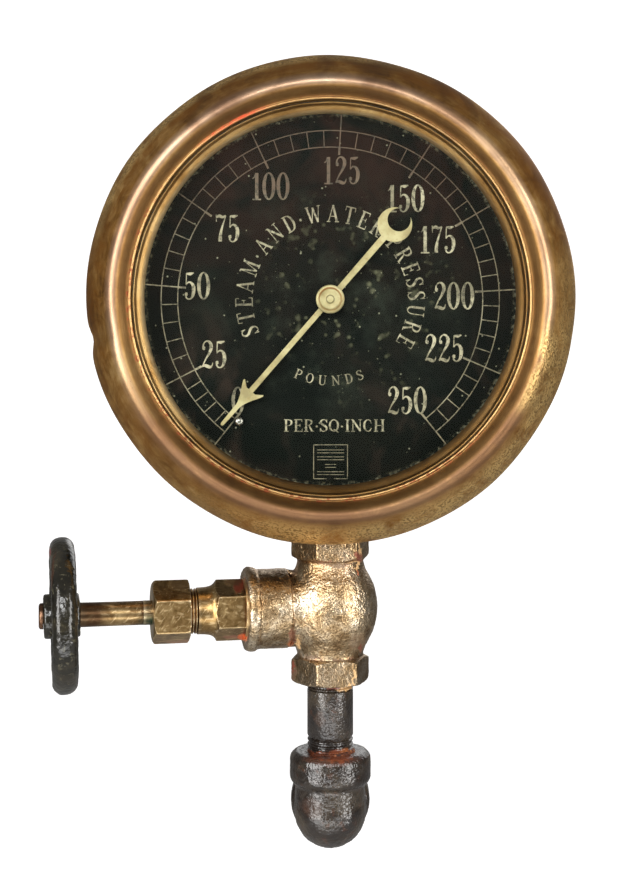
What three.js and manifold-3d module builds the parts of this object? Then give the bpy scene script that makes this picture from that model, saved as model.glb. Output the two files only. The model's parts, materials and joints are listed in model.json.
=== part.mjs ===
// Brass-cased Bourdon pressure gauge on a small globe valve, fed through a pipe nipple and an elbow.
// Millimetres, +Z up, the gauge faces -Y. The origin is the centre of the elbow's rear outlet face.
import * as THREE from "three";
import Module from "manifold-3d";

const wasm = await Module();
wasm.setup();

// ---- driving dimensions ----
const PIPE_R = 6.85; // 1/4 inch steel pipe
const PIPE_BORE_R = 4.6;
const SOCKET_R = 7.1; // female ends that take the pipe
const ELBOW_REACH = 18; // centre to face
const ELBOW_BAND_R = 12.05;
const ELBOW_BAND_LENGTH = 9.6;
const ELBOW_R = 10.6;
const ELBOW_PASSAGE_R = 5;
const SOCKET_DEPTH = 9.5;

const VALVE_Z = 61.1; // bonnet axis above the outlet axis
const VALVE_HALF = 22.2; // half the end-to-end length
const VALVE_HEX_R = 11.9; // across corners / 2
const VALVE_HEX_LENGTH = 7.5;
const BARREL_R = 14.1;
const BARREL_ARC_R = 19.2;
const WAIST_R = 10;
const BONNET_TURN = 11.5; // degrees the bonnet is turned towards the viewer
const NECK_R = 11.7;
const NECK_BEAD_R = 12.4;
const NECK_END = 26.4;
const BONNET_HEX_R = 9.06;
const PACKING_HEX_R = 9.46;
const STEM_R = 3.55;
const WHEEL_AT = 78.6; // rim centre along the bonnet axis
const WHEEL_R = 22.45;
const RIM_WIDTH = 7.2;
const RIM_DEPTH = 5.6;
const SPOKES = 4;
const VALVE_LIFT = 5;

const GAUGE_Z = 152.3;
const CASE_R = 60;
const CASE_WALL = 2;
const CASE_BACK = -16; // gauge-frame depth of the back, positive towards the viewer
const RING_R = 70.9;
const RING_CREST_R = 61.2;
const RING_CREST = 27;
const LIP_R = 56.25;
const GLASS_R = 57.4;
const DIAL_R = 57.1;
const DIAL_FRONT = 13;
const DIAL_THICK = 0.9;
const DIAL_SCREW_R = 52.4;
const POINTER_REST = 139.1; // degrees anticlockwise from the top
const POINTER_FRONT = 15.8;
const POINTER_THICK = 0.6;
const POINTER_TIP = 47.8;

const TUBE_R = 42; // centre line of the Bourdon tube
const TUBE_HALF_WIDE = 5.6; // along the gauge axis
const TUBE_HALF_THIN = 1.7;
const TUBE_WALL = 0.55;
const TUBE_FROM = 194; // degrees clockwise from the top
const TUBE_TO = 476;
const MODULE = 0.45;
const PINION_TEETH = 10;
const SECTOR_RING_TEETH = 100; // teeth of the whole wheel the sector is part of
const SECTOR_PIVOT = [5, -24.24];
const SECTOR_ARM = 12;
const SECTOR_ARM_ANGLE = 23.41; // from straight down, towards the tube's tip
const TIP_PIVOT = [33.2, -22.4];
const LINK_END = [9.888, -35.327];
const PLATE_FRONT = 7.7;
const PLATE_BACK = -4.2;
const PLATE_THICK = 1.2;

const RAD = Math.PI / 180;

// ---- materials ----
const finish = (color, roughness, metalness) => ({ color, roughness, metalness });
const RING_BRASS = finish(0xa47a52, 0.35, 0.9);
const VALVE_BRASS = finish(0xaa8c5f, 0.42, 0.9);
const NUT_BRASS = finish(0x9a7f4d, 0.4, 0.9);
const BRIGHT_BRASS = finish(0xc0985a, 0.3, 0.95);
const MOVEMENT_BRASS = finish(0xc8a866, 0.28, 0.95);
const CAST_IRON = finish(0x46413a, 0.55, 0.8);
const STEEL = finish(0x8c8c88, 0.35, 0.95);
const BLACK_ENAMEL = finish(0x2a2a28, 0.5, 0.2);
const DIAL_BLACK = finish(0x20221e, 0.35, 0.1);
const POINTER_CREAM = finish(0xe1d296, 0.45, 0.1);
const CLEAR = finish(0xdfe8e4, 0.05, 0);
const RUBBER = finish(0x2b2622, 0.8, 0);
const GRAPHITE = finish(0x3a3a3c, 0.7, 0.1);
const COPPER = finish(0x9c6244, 0.4, 0.9);

// ---- frames ----
const alongPipe = (z) => new THREE.Matrix4().makeTranslation(0, -ELBOW_REACH, z);
const gaugeFrame = new THREE.Matrix4()
  .makeRotationX(Math.PI / 2)
  .setPosition(0, -ELBOW_REACH, GAUGE_Z);

// The bonnet axis is local z, local y is up and local x looks roughly at the viewer.
function bonnetFrame() {
  const c = Math.cos(BONNET_TURN * RAD);
  const s = Math.sin(BONNET_TURN * RAD);
  return new THREE.Matrix4()
    .makeBasis(
      new THREE.Vector3(s, -c, 0),
      new THREE.Vector3(0, 0, 1),
      new THREE.Vector3(-c, -s, 0),
    )
    .setPosition(0, -ELBOW_REACH, VALVE_Z);
}

// ---- solids ----
function solid(geometry) {
  const flat = geometry.index ? geometry.toNonIndexed() : geometry;
  const at = flat.getAttribute("position");
  const seen = new Map();
  const verts = [];
  const tris = [];
  for (let i = 0; i < at.count; i++) {
    const p = [at.getX(i), at.getY(i), at.getZ(i)].map((v) => Math.round(v * 1e4) / 1e4 + 0);
    const key = p.join();
    if (!seen.has(key)) {
      seen.set(key, verts.length / 3);
      verts.push(...p);
    }
    tris.push(seen.get(key));
  }
  const kept = [];
  for (let i = 0; i < tris.length; i += 3) {
    const [a, b, c] = tris.slice(i, i + 3);
    if (a !== b && b !== c && c !== a) kept.push(a, b, c);
  }
  const build = (list) =>
    new wasm.Manifold(
      new wasm.Mesh({
        numProp: 3,
        vertProperties: new Float32Array(verts),
        triVerts: new Uint32Array(list),
      }),
    );
  const made = build(kept);
  if (made.volume() > 0) return made;
  const turned = kept.slice();
  for (let i = 0; i < turned.length; i += 3) {
    [turned[i + 1], turned[i + 2]] = [turned[i + 2], turned[i + 1]];
  }
  return build(turned);
}

const join = (...list) => list.reduce((a, b) => a.add(b));
const cut = (body, ...tools) => tools.reduce((a, b) => a.subtract(b), body);

function meshOf(name, shape, look, frame) {
  const m = shape.getMesh();
  const g = new THREE.BufferGeometry();
  g.setAttribute("position", new THREE.BufferAttribute(new Float32Array(m.vertProperties), 3));
  g.setIndex(new THREE.BufferAttribute(new Uint32Array(m.triVerts), 1));
  g.applyMatrix4(frame);
  g.computeVertexNormals();
  const mesh = new THREE.Mesh(g, new THREE.MeshStandardMaterial(look));
  mesh.name = name;
  return mesh;
}

// A profile of [radius, height] points turned about local z.
function turned(profile, segments = 20) {
  const g = new THREE.LatheGeometry(
    profile.map(([r, h]) => new THREE.Vector2(r, h)),
    segments,
  );
  g.rotateX(Math.PI / 2);
  return solid(g);
}

const rod = (r, from, to, segments = 16) =>
  turned([[0, from], [r, from], [r, to], [0, to]], segments);

const ring = (inner, outer, from, to, segments = 16) =>
  turned([[inner, from], [outer, from], [outer, to], [inner, to], [inner, from]], segments);

function moved(shape, x, y, z = 0) {
  return shape.translate([x, y, z]);
}

// A flat outline of [x, y] points given thickness along local z.
function plate(points, from, to, holes = []) {
  const shape = new THREE.Shape(points.map(([x, y]) => new THREE.Vector2(x, y)));
  for (const h of holes) {
    const path = new THREE.Path();
    path.absarc(h[0], h[1], h[2], 0, 2 * Math.PI, true);
    shape.holes.push(path);
  }
  const g = new THREE.ExtrudeGeometry(shape, {
    depth: to - from,
    bevelEnabled: false,
    curveSegments: 6,
  });
  g.translate(0, 0, from);
  return solid(g);
}

const box = (x0, x1, y0, y1, z0, z1) =>
  plate([[x0, y0], [x1, y0], [x1, y1], [x0, y1]], z0, z1);

// A prism with its first corner at the given angle, in degrees.
function prism(sides, cornerR, from, to, first) {
  const points = [];
  for (let i = 0; i < sides; i++) {
    const a = (first + (i * 360) / sides) * RAD;
    points.push([cornerR * Math.cos(a), cornerR * Math.sin(a)]);
  }
  return plate(points, from, to);
}

// A hexagon whose corners are turned off at the chosen ends.
function hexNut(cornerR, from, to, first, chamferFrom, chamferTo) {
  const big = cornerR + 1;
  const drop = 1 + (cornerR * (1 - Math.cos(30 * RAD))) * 0.9;
  const low = chamferFrom ? drop * 0.5 : 0;
  const high = chamferTo ? drop * 0.5 : 0;
  const round = [[0, from]];
  round.push([big - (chamferFrom ? drop : 0), from]);
  if (low) round.push([big, from + low]);
  if (high) round.push([big, to - high]);
  round.push([big - (chamferTo ? drop : 0), to], [0, to]);
  return prism(6, cornerR, from, to, first).intersect(turned(round, 18));
}

// A closed section swept along a circular arc in the local xy plane; angles clockwise from +y.
function sweptArc(section, radius, fromDeg, toDeg, steps) {
  const n = section.length;
  const points = [];
  for (let i = 0; i <= steps; i++) {
    const a = (fromDeg + ((toDeg - fromDeg) * i) / steps) * RAD;
    for (const [dr, dz] of section) {
      points.push([(radius + dr) * Math.sin(a), (radius + dr) * Math.cos(a), dz]);
    }
  }
  const faces = [];
  for (let i = 0; i < steps; i++) {
    for (let j = 0; j < n; j++) {
      const a = i * n + j;
      const b = i * n + ((j + 1) % n);
      faces.push(a, b, b + n, a, b + n, a + n);
    }
  }
  for (let j = 1; j < n - 1; j++) {
    faces.push(0, j + 1, j);
    faces.push(steps * n, steps * n + j, steps * n + j + 1);
  }
  const g = new THREE.BufferGeometry();
  g.setAttribute("position", new THREE.Float32BufferAttribute(points.flat(), 3));
  g.setIndex(faces);
  return solid(g);
}

function oval(halfThin, halfWide, sides = 8) {
  const points = [];
  for (let i = 0; i < sides; i++) {
    const a = (2 * Math.PI * i) / sides;
    points.push([halfThin * Math.cos(a), halfWide * Math.sin(a)]);
  }
  return points;
}

// ---- pipework ----
function elbow() {
  const arm = (bandFrom) =>
    turned([
      [0, 0],
      [ELBOW_R, 0],
      [ELBOW_R, bandFrom - 0.6],
      [ELBOW_BAND_R, bandFrom + 0.3],
      [ELBOW_BAND_R, ELBOW_REACH - 0.9],
      [ELBOW_BAND_R - 0.9, ELBOW_REACH],
      [0, ELBOW_REACH],
    ]);
  const bandFrom = ELBOW_REACH - ELBOW_BAND_LENGTH;
  const hollow = (deep) =>
    join(rod(ELBOW_PASSAGE_R, 0, ELBOW_REACH, 20), rod(SOCKET_R, deep, ELBOW_REACH + 1));
  const ball = solid(new THREE.SphereGeometry(ELBOW_R, 24, 12));
  const deep = ELBOW_REACH - SOCKET_DEPTH;
  const up = join(arm(bandFrom), ball, arm(bandFrom).rotate([-90, 0, 0]));
  return cut(up, hollow(deep), hollow(deep).rotate([-90, 0, 0]));
}

function nipple() {
  const low = ELBOW_REACH - SOCKET_DEPTH + 0.3;
  const high = VALVE_Z - VALVE_HALF + SOCKET_DEPTH - 0.3;
  const tip = PIPE_R - 0.6;
  return turned([
    [PIPE_BORE_R, low],
    [tip, low],
    [PIPE_R, low + 0.6],
    [PIPE_R, high - 0.6],
    [tip, high],
    [PIPE_BORE_R, high],
    [PIPE_BORE_R, low],
  ]);
}

// ---- globe valve ----
function barrelProfile() {
  const top = 12.6;
  const points = [[0, -top - 3]];
  points.push([WAIST_R, -top - 3]);
  const centre = BARREL_R - BARREL_ARC_R;
  for (let i = -4; i <= 4; i++) {
    const z = (top * i) / 4;
    points.push([centre + Math.sqrt(BARREL_ARC_R ** 2 - z * z), z]);
  }
  points.push([WAIST_R, top + 3]);
  points.push([0, top + 3]);
  return points;
}

function valveBody(toBonnet) {
  const barrel = turned(barrelProfile(), 24);
  const inner = VALVE_HALF - VALVE_HEX_LENGTH;
  const first = 180 + BONNET_TURN; // a corner lies in line with the bonnet
  const ends = [
    hexNut(VALVE_HEX_R, inner, VALVE_HALF, first, true, true),
    hexNut(VALVE_HEX_R, -VALVE_HALF, -inner, first, true, true),
  ];
  const neck = turned([
    [0, 0],
    [NECK_R, 0],
    [NECK_R, 22.65],
    [NECK_BEAD_R, 23.1],
    [NECK_BEAD_R, 25.2],
    [NECK_BEAD_R - 1.2, NECK_END],
    [0, NECK_END],
  ]).transform(toBonnet);
  const chamber = join(
    rod(8.4, 3, 14.2, 16),
    rod(9.35, 14, NECK_END + 1, 16),
    rod(4.6, -3, 4, 12),
    rod(5.8, 1.4, 3.2, 14),
  ).transform(toBonnet);
  const shift = 4.6;
  const under = moved(rod(4.4, -14, 2.5, 14), shift * Math.cos(BONNET_TURN * RAD), 0);
  const over = rod(5, 2, 14, 14);
  const sockets = join(
    rod(SOCKET_R, -VALVE_HALF - 1, -VALVE_HALF + SOCKET_DEPTH),
    rod(SOCKET_R, VALVE_HALF - SOCKET_DEPTH, VALVE_HALF + 1),
  );
  const cavity = join(under, sockets, moved(over, -8 * Math.cos(BONNET_TURN * RAD), 0));
  return cut(join(barrel, ...ends, neck), chamber, cavity);
}

const seatRing = () => ring(3.9, 5.6, 1.5, 3.1, 20);

function bonnet() {
  const hex = hexNut(BONNET_HEX_R, NECK_END + 0.1, 34.5, 34.1, false, false);
  const shank = rod(9.1, 15, NECK_END + 0.2);
  const top = turned([
    [0, 34.3],
    [8.2, 34.3],
    [7.3, 35.7],
    [6.85, 37.2],
    [6.75, 40.2],
    [6.35, 40.4],
    [6.35, 48.6],
    [0, 48.6],
  ]);
  const bore = join(rod(STEM_R + 0.15, 14, 49), rod(5.05, 41, 49), rod(5.6, 14, 18));
  return cut(join(hex, shank, top), bore);
}

function packingNut() {
  const body = hexNut(PACKING_HEX_R, 42.4, 53.2, 28.3, false, true);
  return cut(body, rod(6.65, 41, 49.3), rod(STEM_R + 0.2, 41, 54));
}

const packingRing = () => ring(STEM_R + 0.15, 4.9, 41.2, 45.6, 20);

function packingGland() {
  return turned([
    [STEM_R + 0.2, 45.8],
    [4.8, 45.8],
    [4.8, 48.7],
    [6, 48.8],
    [6, 49.2],
    [STEM_R + 0.2, 49.2],
    [STEM_R + 0.2, 45.8],
  ], 20);
}

function stem() {
  const shaft = turned([
    [0, 10.3],
    [2.2, 10.3],
    [2.2, 12],
    [1.4, 12],
    [1.4, 15],
    [2.6, 15.3],
    [STEM_R, 16.4],
    [STEM_R, 73.9],
    [0, 73.9],
  ], 16);
  const square = prism(4, 3.5, 73.5, 84.2, 45 + 24.5);
  const tip = rod(1.9, 84, 85.4, 16);
  return join(shaft, square, tip);
}

function valveDisc() {
  const top = 3.1 + VALVE_LIFT + 0.15;
  const cup = turned([
    [0, top],
    [4.4, top],
    [5.3, top + 0.9],
    [5.3, top + 3.6],
    [4.1, top + 3.6],
    [4.1, top + 5.2],
    [2.5, top + 5.2],
    [2.5, top + 1.9],
    [0, top + 1.9],
  ], 20);
  return cup;
}

function discNut() {
  const top = 3.1 + VALVE_LIFT + 0.15;
  const body = prism(6, 5.7, top + 3.75, top + 6.3, 0);
  return cut(body, rod(4.2, top + 3, top + 5.35, 20), rod(1.7, top, top + 7, 16));
}

function handwheel() {
  const rimR = WHEEL_R - RIM_DEPTH / 2;
  const section = [];
  for (let i = 0; i <= 8; i++) {
    const a = (2 * Math.PI * i) / 8;
    section.push([
      rimR + (RIM_DEPTH / 2) * Math.cos(a),
      WHEEL_AT + (RIM_WIDTH / 2) * Math.sin(a),
    ]);
  }
  section[8] = section[0].slice();
  const rim = turned(section, 28);
  const hub = turned([
    [0, 73.9],
    [5.6, 73.9],
    [6.5, 75],
    [6.5, 83.2],
    [5.6, 84.2],
    [0, 84.2],
  ], 16);
  let wheel = join(rim, hub);
  for (let i = 0; i < SPOKES; i++) {
    const spoke = box(3, rimR, -2, 2, WHEEL_AT - 1.9, WHEEL_AT + 1.9);
    wheel = wheel.add(spoke.rotate([0, 0, 24.5 + (i * 360) / SPOKES]));
  }
  return cut(wheel, prism(4, 3.8, 73, 85, 45 + 24.5));
}

const wheelNut = () => ring(2, 3.75, 84.3, 85.6, 20);

// ---- gauge ----
function caseShell() {
  const in_ = CASE_R - CASE_WALL;
  const body = turned([
    [0, CASE_BACK],
    [CASE_R - 3, CASE_BACK],
    [CASE_R - 0.9, CASE_BACK + 0.9],
    [CASE_R, CASE_BACK + 3],
    [CASE_R, DIAL_FRONT - 1],
    [50.4, DIAL_FRONT - 1],
    [50.4, 10.4],
    [in_, 7.4],
    [in_, CASE_BACK + 3.4],
    [in_ - 1.8, CASE_BACK + 1.6],
    [0, CASE_BACK + 1.6],
  ], 40);
  const mouth = box(-9.4, 9.4, -64, -50, -7.4, 7.4);
  const holes = [-5, 5].map((x) => moved(rod(1.7, -17, -14, 12), x, -50));
  const dialHoles = [1, -1].map((s) => moved(rod(1.1, 8, 14, 12), 0, DIAL_SCREW_R * s));
  return cut(body, mouth, ...holes, ...dialHoles);
}

function frontRing() {
  return turned([
    [RING_R, 12.5],
    [RING_R, 14.4],
    [RING_R - 1.5, 18],
    [RING_R - 4.4, 22.4],
    [RING_R - 7.7, 25.9],
    [RING_CREST_R, RING_CREST],
    [59.4, 26.1],
    [57.5, 24.3],
    [56.9, 24.7],
    [LIP_R, 24],
    [LIP_R, 22.4],
    [GLASS_R + 0.3, 22.4],
    [GLASS_R + 0.3, 12.6],
    [60.2, 12.6],
    [60.2, 7.6],
    [61.8, 7.6],
    [61.8, 22.6],
    [63.6, 23.2],
    [67.4, 18.6],
    [69.5, 12.5],
    [RING_R, 12.5],
  ], 44);
}

const glass = () => rod(GLASS_R, 19.5, 22.3, 40);
const gasket = () => ring(56.6, GLASS_R, 19.15, 19.4, 36);

function bevelRing() {
  return turned([
    [53.7, DIAL_FRONT + 0.1],
    [57.2, DIAL_FRONT + 0.1],
    [57.2, 19.05],
    [56.1, 19.05],
    [55.9, DIAL_FRONT + 2.7],
    [53.7, DIAL_FRONT + 0.5],
    [53.7, DIAL_FRONT + 0.1],
  ], 36);
}

const at = (radius, degrees) => [
  radius * Math.sin(degrees * RAD),
  radius * Math.cos(degrees * RAD),
];

function dialPlate() {
  const back = DIAL_FRONT - DIAL_THICK;
  const disc = rod(DIAL_R, back, DIAL_FRONT, 40);
  const [sx, sy] = at(43.9, -143.2);
  return cut(
    disc,
    rod(2.6, back - 1, DIAL_FRONT + 1, 16),
    moved(rod(0.8, back - 1, DIAL_FRONT + 1, 12), sx, sy),
    ...[1, -1].map((s) => moved(rod(1.1, back - 1, DIAL_FRONT + 1, 12), 0, DIAL_SCREW_R * s)),
  );
}

function dialScrew(side) {
  const y = side * DIAL_SCREW_R;
  const shank = moved(rod(0.9, 8.4, DIAL_FRONT + 0.2, 12), 0, y);
  const head = moved(rod(1.25, DIAL_FRONT + 0.1, DIAL_FRONT + 0.7, 16), 0, y);
  const slot = box(-2, 2, y - 0.2, y + 0.2, DIAL_FRONT + 0.4, DIAL_FRONT + 1);
  return cut(join(shank, head), slot);
}

function stopPin() {
  const [x, y] = at(43.9, -143.2);
  return moved(
    turned([
      [0, 11],
      [0.7, 11],
      [0.7, DIAL_FRONT + 0.1],
      [1.25, DIAL_FRONT + 0.1],
      [1.25, 14.4],
      [0.8, 14.9],
      [0, 14.9],
    ], 16),
    x,
    y,
  );
}

// The flat pointer along +y, then turned to its rest angle.
function pointer() {
  const half = [
    [0.8, 0],
    [0.8, 35],
    [3.6, 33.6],
    [2.3, 36.4],
    [1.2, 38.4],
    [0.62, 40.6],
    [0.5, POINTER_TIP],
  ];
  const outline = [...half, ...half.map(([x, y]) => [-x, y]).reverse()];
  const tail = [
    [0.85, 0],
    [1.2, -23.8],
    [-1.2, -23.8],
    [-0.85, 0],
  ];
  const back = POINTER_FRONT - POINTER_THICK;
  const arm = plate(outline, back, POINTER_FRONT);
  const stalk = plate([...tail].reverse(), back, POINTER_FRONT);
  const moon = cut(
    moved(rod(5.04, back, POINTER_FRONT, 24), 0, -28.4),
    moved(rod(3.31, back - 1, POINTER_FRONT + 1, 20), 0, -30.3),
    plate([[0, -28.4], [-3, -36.8], [3, -36.8]], back - 1, POINTER_FRONT + 1),
  );
  const boss = rod(3.2, back, POINTER_FRONT, 16);
  const whole = cut(join(arm, stalk, moon, boss), rod(1.25, back - 1, 17, 16));
  return whole.rotate([0, 0, POINTER_REST]);
}

function pointerHub() {
  return turned([
    [1.25, POINTER_FRONT + 0.1],
    [4.1, POINTER_FRONT + 0.1],
    [4.1, 18.2],
    [3.9, 18.5],
    [3.3, 18.5],
    [2.9, 17.7],
    [1.25, 17.6],
    [1.25, POINTER_FRONT + 0.1],
  ], 20);
}

// ---- movement ----
function gearOutline(pitchR, addendum, dedendum, pitchDeg, tooth, first, count) {
  const points = [];
  for (let i = 0; i < count; i++) {
    const a = first + i * pitchDeg;
    const root = pitchDeg * tooth * 0.62;
    const tip = pitchDeg * tooth * 0.3;
    points.push([pitchR - dedendum, a - root], [pitchR + addendum, a - tip]);
    points.push([pitchR + addendum, a + tip], [pitchR - dedendum, a + root]);
  }
  return points.map(([r, a]) => at(r, a));
}

// The pinion meshes with the sector along the line from the gauge's centre to the sector's pivot.
function towardsSector() {
  return Math.atan2(SECTOR_PIVOT[0], SECTOR_PIVOT[1]) / RAD;
}

function arbor() {
  const pitchR = (MODULE * PINION_TEETH) / 2;
  const step = 360 / PINION_TEETH;
  const teeth = gearOutline(pitchR, 0.3, 0.5, step, 0.5, towardsSector(), PINION_TEETH);
  const pinion = plate(teeth.reverse(), -0.5, 2.4);
  const shaft = turned([
    [0, PLATE_BACK - 0.4],
    [0.75, PLATE_BACK - 0.4],
    [0.75, -1.6],
    [1.4, -1.6],
    [1.4, 3.2],
    [1, 3.2],
    [1, 17.2],
    [0.7, 17.9],
    [0, 17.9],
  ], 16);
  return join(pinion, shaft);
}

function sector() {
  const pitchR = (MODULE * SECTOR_RING_TEETH) / 2;
  const step = 360 / SECTOR_RING_TEETH;
  const mesh = towardsSector() + 180; // seen from the sector's pivot
  const first = mesh - 3.5 * step;
  const count = 15;
  const teeth = gearOutline(pitchR, 0.25, 0.6, step, 0.5, first, count);
  const inner = 18.6;
  const edge = [];
  for (let i = 0; i <= 10; i++) {
    edge.push(at(inner, first + (count - 0.6) * step - (i * (count - 0.2) * step) / 10));
  }
  const rim = plate([...teeth, ...edge].reverse(), 0, 1.6);
  const middle = first + ((count - 1) * step) / 2;
  const spokeAt = (a) => {
    const along = at(19.6, a);
    const side = at(1.1, a + 90);
    return plate(
      [
        [side[0], side[1]],
        [along[0] + side[0], along[1] + side[1]],
        [along[0] - side[0], along[1] - side[1]],
        [-side[0], -side[1]],
      ].reverse(),
      0,
      1.6,
    );
  };
  const tailEnd = at(SECTOR_ARM, 180 - SECTOR_ARM_ANGLE);
  const side = at(1.7, 90 - SECTOR_ARM_ANGLE);
  const tail = plate(
    [
      [-side[0], -side[1]],
      [tailEnd[0] - side[0], tailEnd[1] - side[1]],
      [tailEnd[0] + side[0], tailEnd[1] + side[1]],
      [side[0], side[1]],
    ].reverse(),
    0,
    1.6,
  );
  const tailRound = moved(rod(2.1, 0, 1.6, 20), tailEnd[0], tailEnd[1]);
  const hub = rod(2.6, -0.6, 2.6, 20);
  const axle = join(rod(0.9, PLATE_BACK - 0.4, PLATE_FRONT + 0.2, 16));
  const solidPart = join(
    rim,
    spokeAt(middle - 4.6 * step),
    spokeAt(middle + 4.6 * step),
    tail,
    tailRound,
    hub,
    axle,
  );
  const slot = moved(rod(1.1, -1, 3, 20), tailEnd[0], tailEnd[1]);
  return moved(cut(solidPart, slot), SECTOR_PIVOT[0], SECTOR_PIVOT[1]);
}

function linkBar() {
  const dx = LINK_END[0] - TIP_PIVOT[0];
  const dy = LINK_END[1] - TIP_PIVOT[1];
  const length = Math.hypot(dx, dy);
  const a = Math.atan2(dy, dx) / RAD;
  const bar = box(0, length, -1.1, 1.1, 2.4, 3.4);
  const ends = [0, length].map((x) => moved(rod(1.9, 2.4, 3.4, 20), x, 0));
  const pin = moved(rod(0.8, -0.6, 3, 16), length, 0);
  const eye = rod(0.95, 2, 4, 16);
  return moved(
    cut(join(bar, ...ends, pin), eye).rotate([0, 0, a]),
    TIP_PIVOT[0],
    TIP_PIVOT[1],
  );
}

// The tube's end block, with the pin that carries the link.
function tubeTip() {
  const a = TUBE_TO + 0.6;
  const start = at(TUBE_R, a);
  const block = sweptArc(
    [[-2.8, -5.8], [3.6, -5.8], [3.6, 5.8], [-2.8, 5.8]],
    TUBE_R,
    a,
    a + 3.4,
    2,
  );
  const lug = plate(
    [
      [start[0] - 2.2, start[1] - 1.2],
      [TIP_PIVOT[0] + 2.1, TIP_PIVOT[1] - 1.6],
      [TIP_PIVOT[0] - 1.6, TIP_PIVOT[1] - 1.8],
      [TIP_PIVOT[0] - 1.9, TIP_PIVOT[1] + 1.4],
      [start[0] - 3.4, start[1] + 0.4],
    ],
    -1,
    1.9,
  );
  const round = moved(rod(2.2, -1, 1.9, 20), TIP_PIVOT[0], TIP_PIVOT[1]);
  const pin = moved(rod(0.85, 1, 3.9, 16), TIP_PIVOT[0], TIP_PIVOT[1]);
  return join(block, lug, round, pin);
}

function bourdonTube() {
  const outer = sweptArc(oval(TUBE_HALF_THIN, TUBE_HALF_WIDE), TUBE_R, TUBE_FROM, TUBE_TO, 24);
  const inner = sweptArc(
    oval(TUBE_HALF_THIN - TUBE_WALL, TUBE_HALF_WIDE - TUBE_WALL),
    TUBE_R,
    TUBE_FROM - 2,
    TUBE_TO - 1,
    24,
  );
  return cut(outer, inner);
}

function socket() {
  const low = -GAUGE_Z + VALVE_Z + VALVE_HALF; // the valve's top face in gauge height
  const throat = box(-9, 9, -60.6, -50, -7, 7);
  const block = box(-13.5, 9, -53, -38.6, -7, 7);
  const root = box(-13.5, 0, -45, -37, -7, 7);
  const foot = box(-9, 9, -54, -44, CASE_BACK + 1.75, -6.9);
  const arm = box(-6.5, 6.5, -44.5, 7, -9.6, PLATE_BACK - 0.1);
  const flats = box(-7.2, 7.2, low + 1.2, -60.5, -7, 7);
  const shank = rod(6.7, GAUGE_Z + low - 8.6, GAUGE_Z + low + 1.4).transform(upright());
  const bore = rod(2.2, GAUGE_Z + low - 9, GAUGE_Z - 41, 16).transform(upright());
  const pocket = sweptArc(
    oval(TUBE_HALF_THIN + 0.45, TUBE_HALF_WIDE + 0.3),
    TUBE_R,
    TUBE_FROM - 1.6,
    TUBE_FROM + 10,
    5,
  );
  const passage = sweptArc(oval(1.1, 2.4, 10), TUBE_R, 179, TUBE_FROM, 4);
  const screws = [-5, 5].map((x) => moved(rod(1.35, -15, -5.5, 12), x, -50));
  const tapped = [-24, -10].map((y) => moved(rod(0.95, -9, -4, 12), -1.5, y));
  const leafSlot = sweptArc(leafSection(0.25), TUBE_R, TUBE_FROM - 2.5, TUBE_FROM + 12, 5);
  const pits = [[0, 0], SECTOR_PIVOT].map(([x, y]) => moved(rod(1.3, -6, -4, 12), x, y));
  return cut(
    join(throat, block, root, foot, arm, flats, shank),
    bore,
    pocket,
    passage,
    leafSlot,
    ...pits,
    ...screws,
    ...tapped,
  );
}

// Takes row height into the gauge frame for parts on the pipe's own axis.
function upright() {
  return new THREE.Matrix4().makeRotationX(-Math.PI / 2).setPosition(0, -GAUGE_Z, 0).elements;
}

function platePoints() {
  return [
    [-12.5, -33],
    [-6, -36],
    [13, -36],
    [15, -33],
    [12.5, 8],
    [10, 10],
    [-10, 10],
    [-12.5, 8],
  ];
}

const PILLARS = [[-9.5, 7], [9.5, 7], [-9, -32]];

function movementPlate(from, holesR) {
  const holes = [
    [0, 0, holesR[0]],
    [SECTOR_PIVOT[0], SECTOR_PIVOT[1], 1],
    ...PILLARS.map(([x, y]) => [x, y, 1.1]),
  ];
  if (from < 0) holes.push([-1.5, -24, 1.2], [-1.5, -10, 1.2]);
  return plate(platePoints(), from, from + PLATE_THICK, holes);
}

const frontPlate = () => movementPlate(PLATE_FRONT - PLATE_THICK, [1.15]);
const backPlate = () => movementPlate(PLATE_BACK, [0.9]);

function pillar([x, y]) {
  const from = PLATE_BACK + PLATE_THICK + 0.05;
  const to = PLATE_FRONT - PLATE_THICK - 0.05;
  const post = join(
    rod(1.9, from, to, 16),
    rod(0.95, from - PLATE_THICK, to + PLATE_THICK + 0.9, 12),
  );
  const nut = prism(6, 2.1, PLATE_FRONT + 0.05, PLATE_FRONT + 1, 0);
  return moved(join(post, nut), x, y);
}

function movementScrew(y) {
  const head = rod(1.9, PLATE_BACK + PLATE_THICK + 0.05, PLATE_BACK + PLATE_THICK + 1.1, 16);
  const shank = rod(0.8, -8.6, PLATE_BACK + PLATE_THICK + 0.1, 12);
  return moved(join(head, shank), -1.5, y);
}

function hairspring() {
  const turns = 4;
  const steps = 48;
  const half = 0.12;
  const points = [];
  for (let i = 0; i <= steps; i++) {
    const t = i / steps;
    points.push([1.6 + 5 * t, t * turns * 360]);
  }
  const outward = points.map(([r, a]) => at(r + half, a));
  const inward = points.map(([r, a]) => at(r - half, a));
  return plate([...outward, ...inward.reverse()].reverse(), 3.6, 5);
}

function springCollet() {
  return ring(1.1, 1.4, 3.4, 5.2, 16);
}

function hairspringStud() {
  return join(
    moved(rod(0.7, 5.2, PLATE_FRONT - PLATE_THICK - 0.05, 12), 0, 7.4),
    moved(rod(0.5, 3.4, 5.3, 12), 0, 7.4),
  );
}

// The auxiliary spring: a steel leaf that steadies the tube near its tip.
function leafSection(spare) {
  const low = TUBE_HALF_THIN + 0.75 - spare;
  const high = TUBE_HALF_THIN + 1.25 + spare;
  const wide = 2.5 + spare;
  return [[low, -wide], [high, -wide], [high, wide], [low, wide]];
}

const auxiliarySpring = () => sweptArc(leafSection(0), TUBE_R, TUBE_FROM - 1, TUBE_TO, 26);

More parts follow.
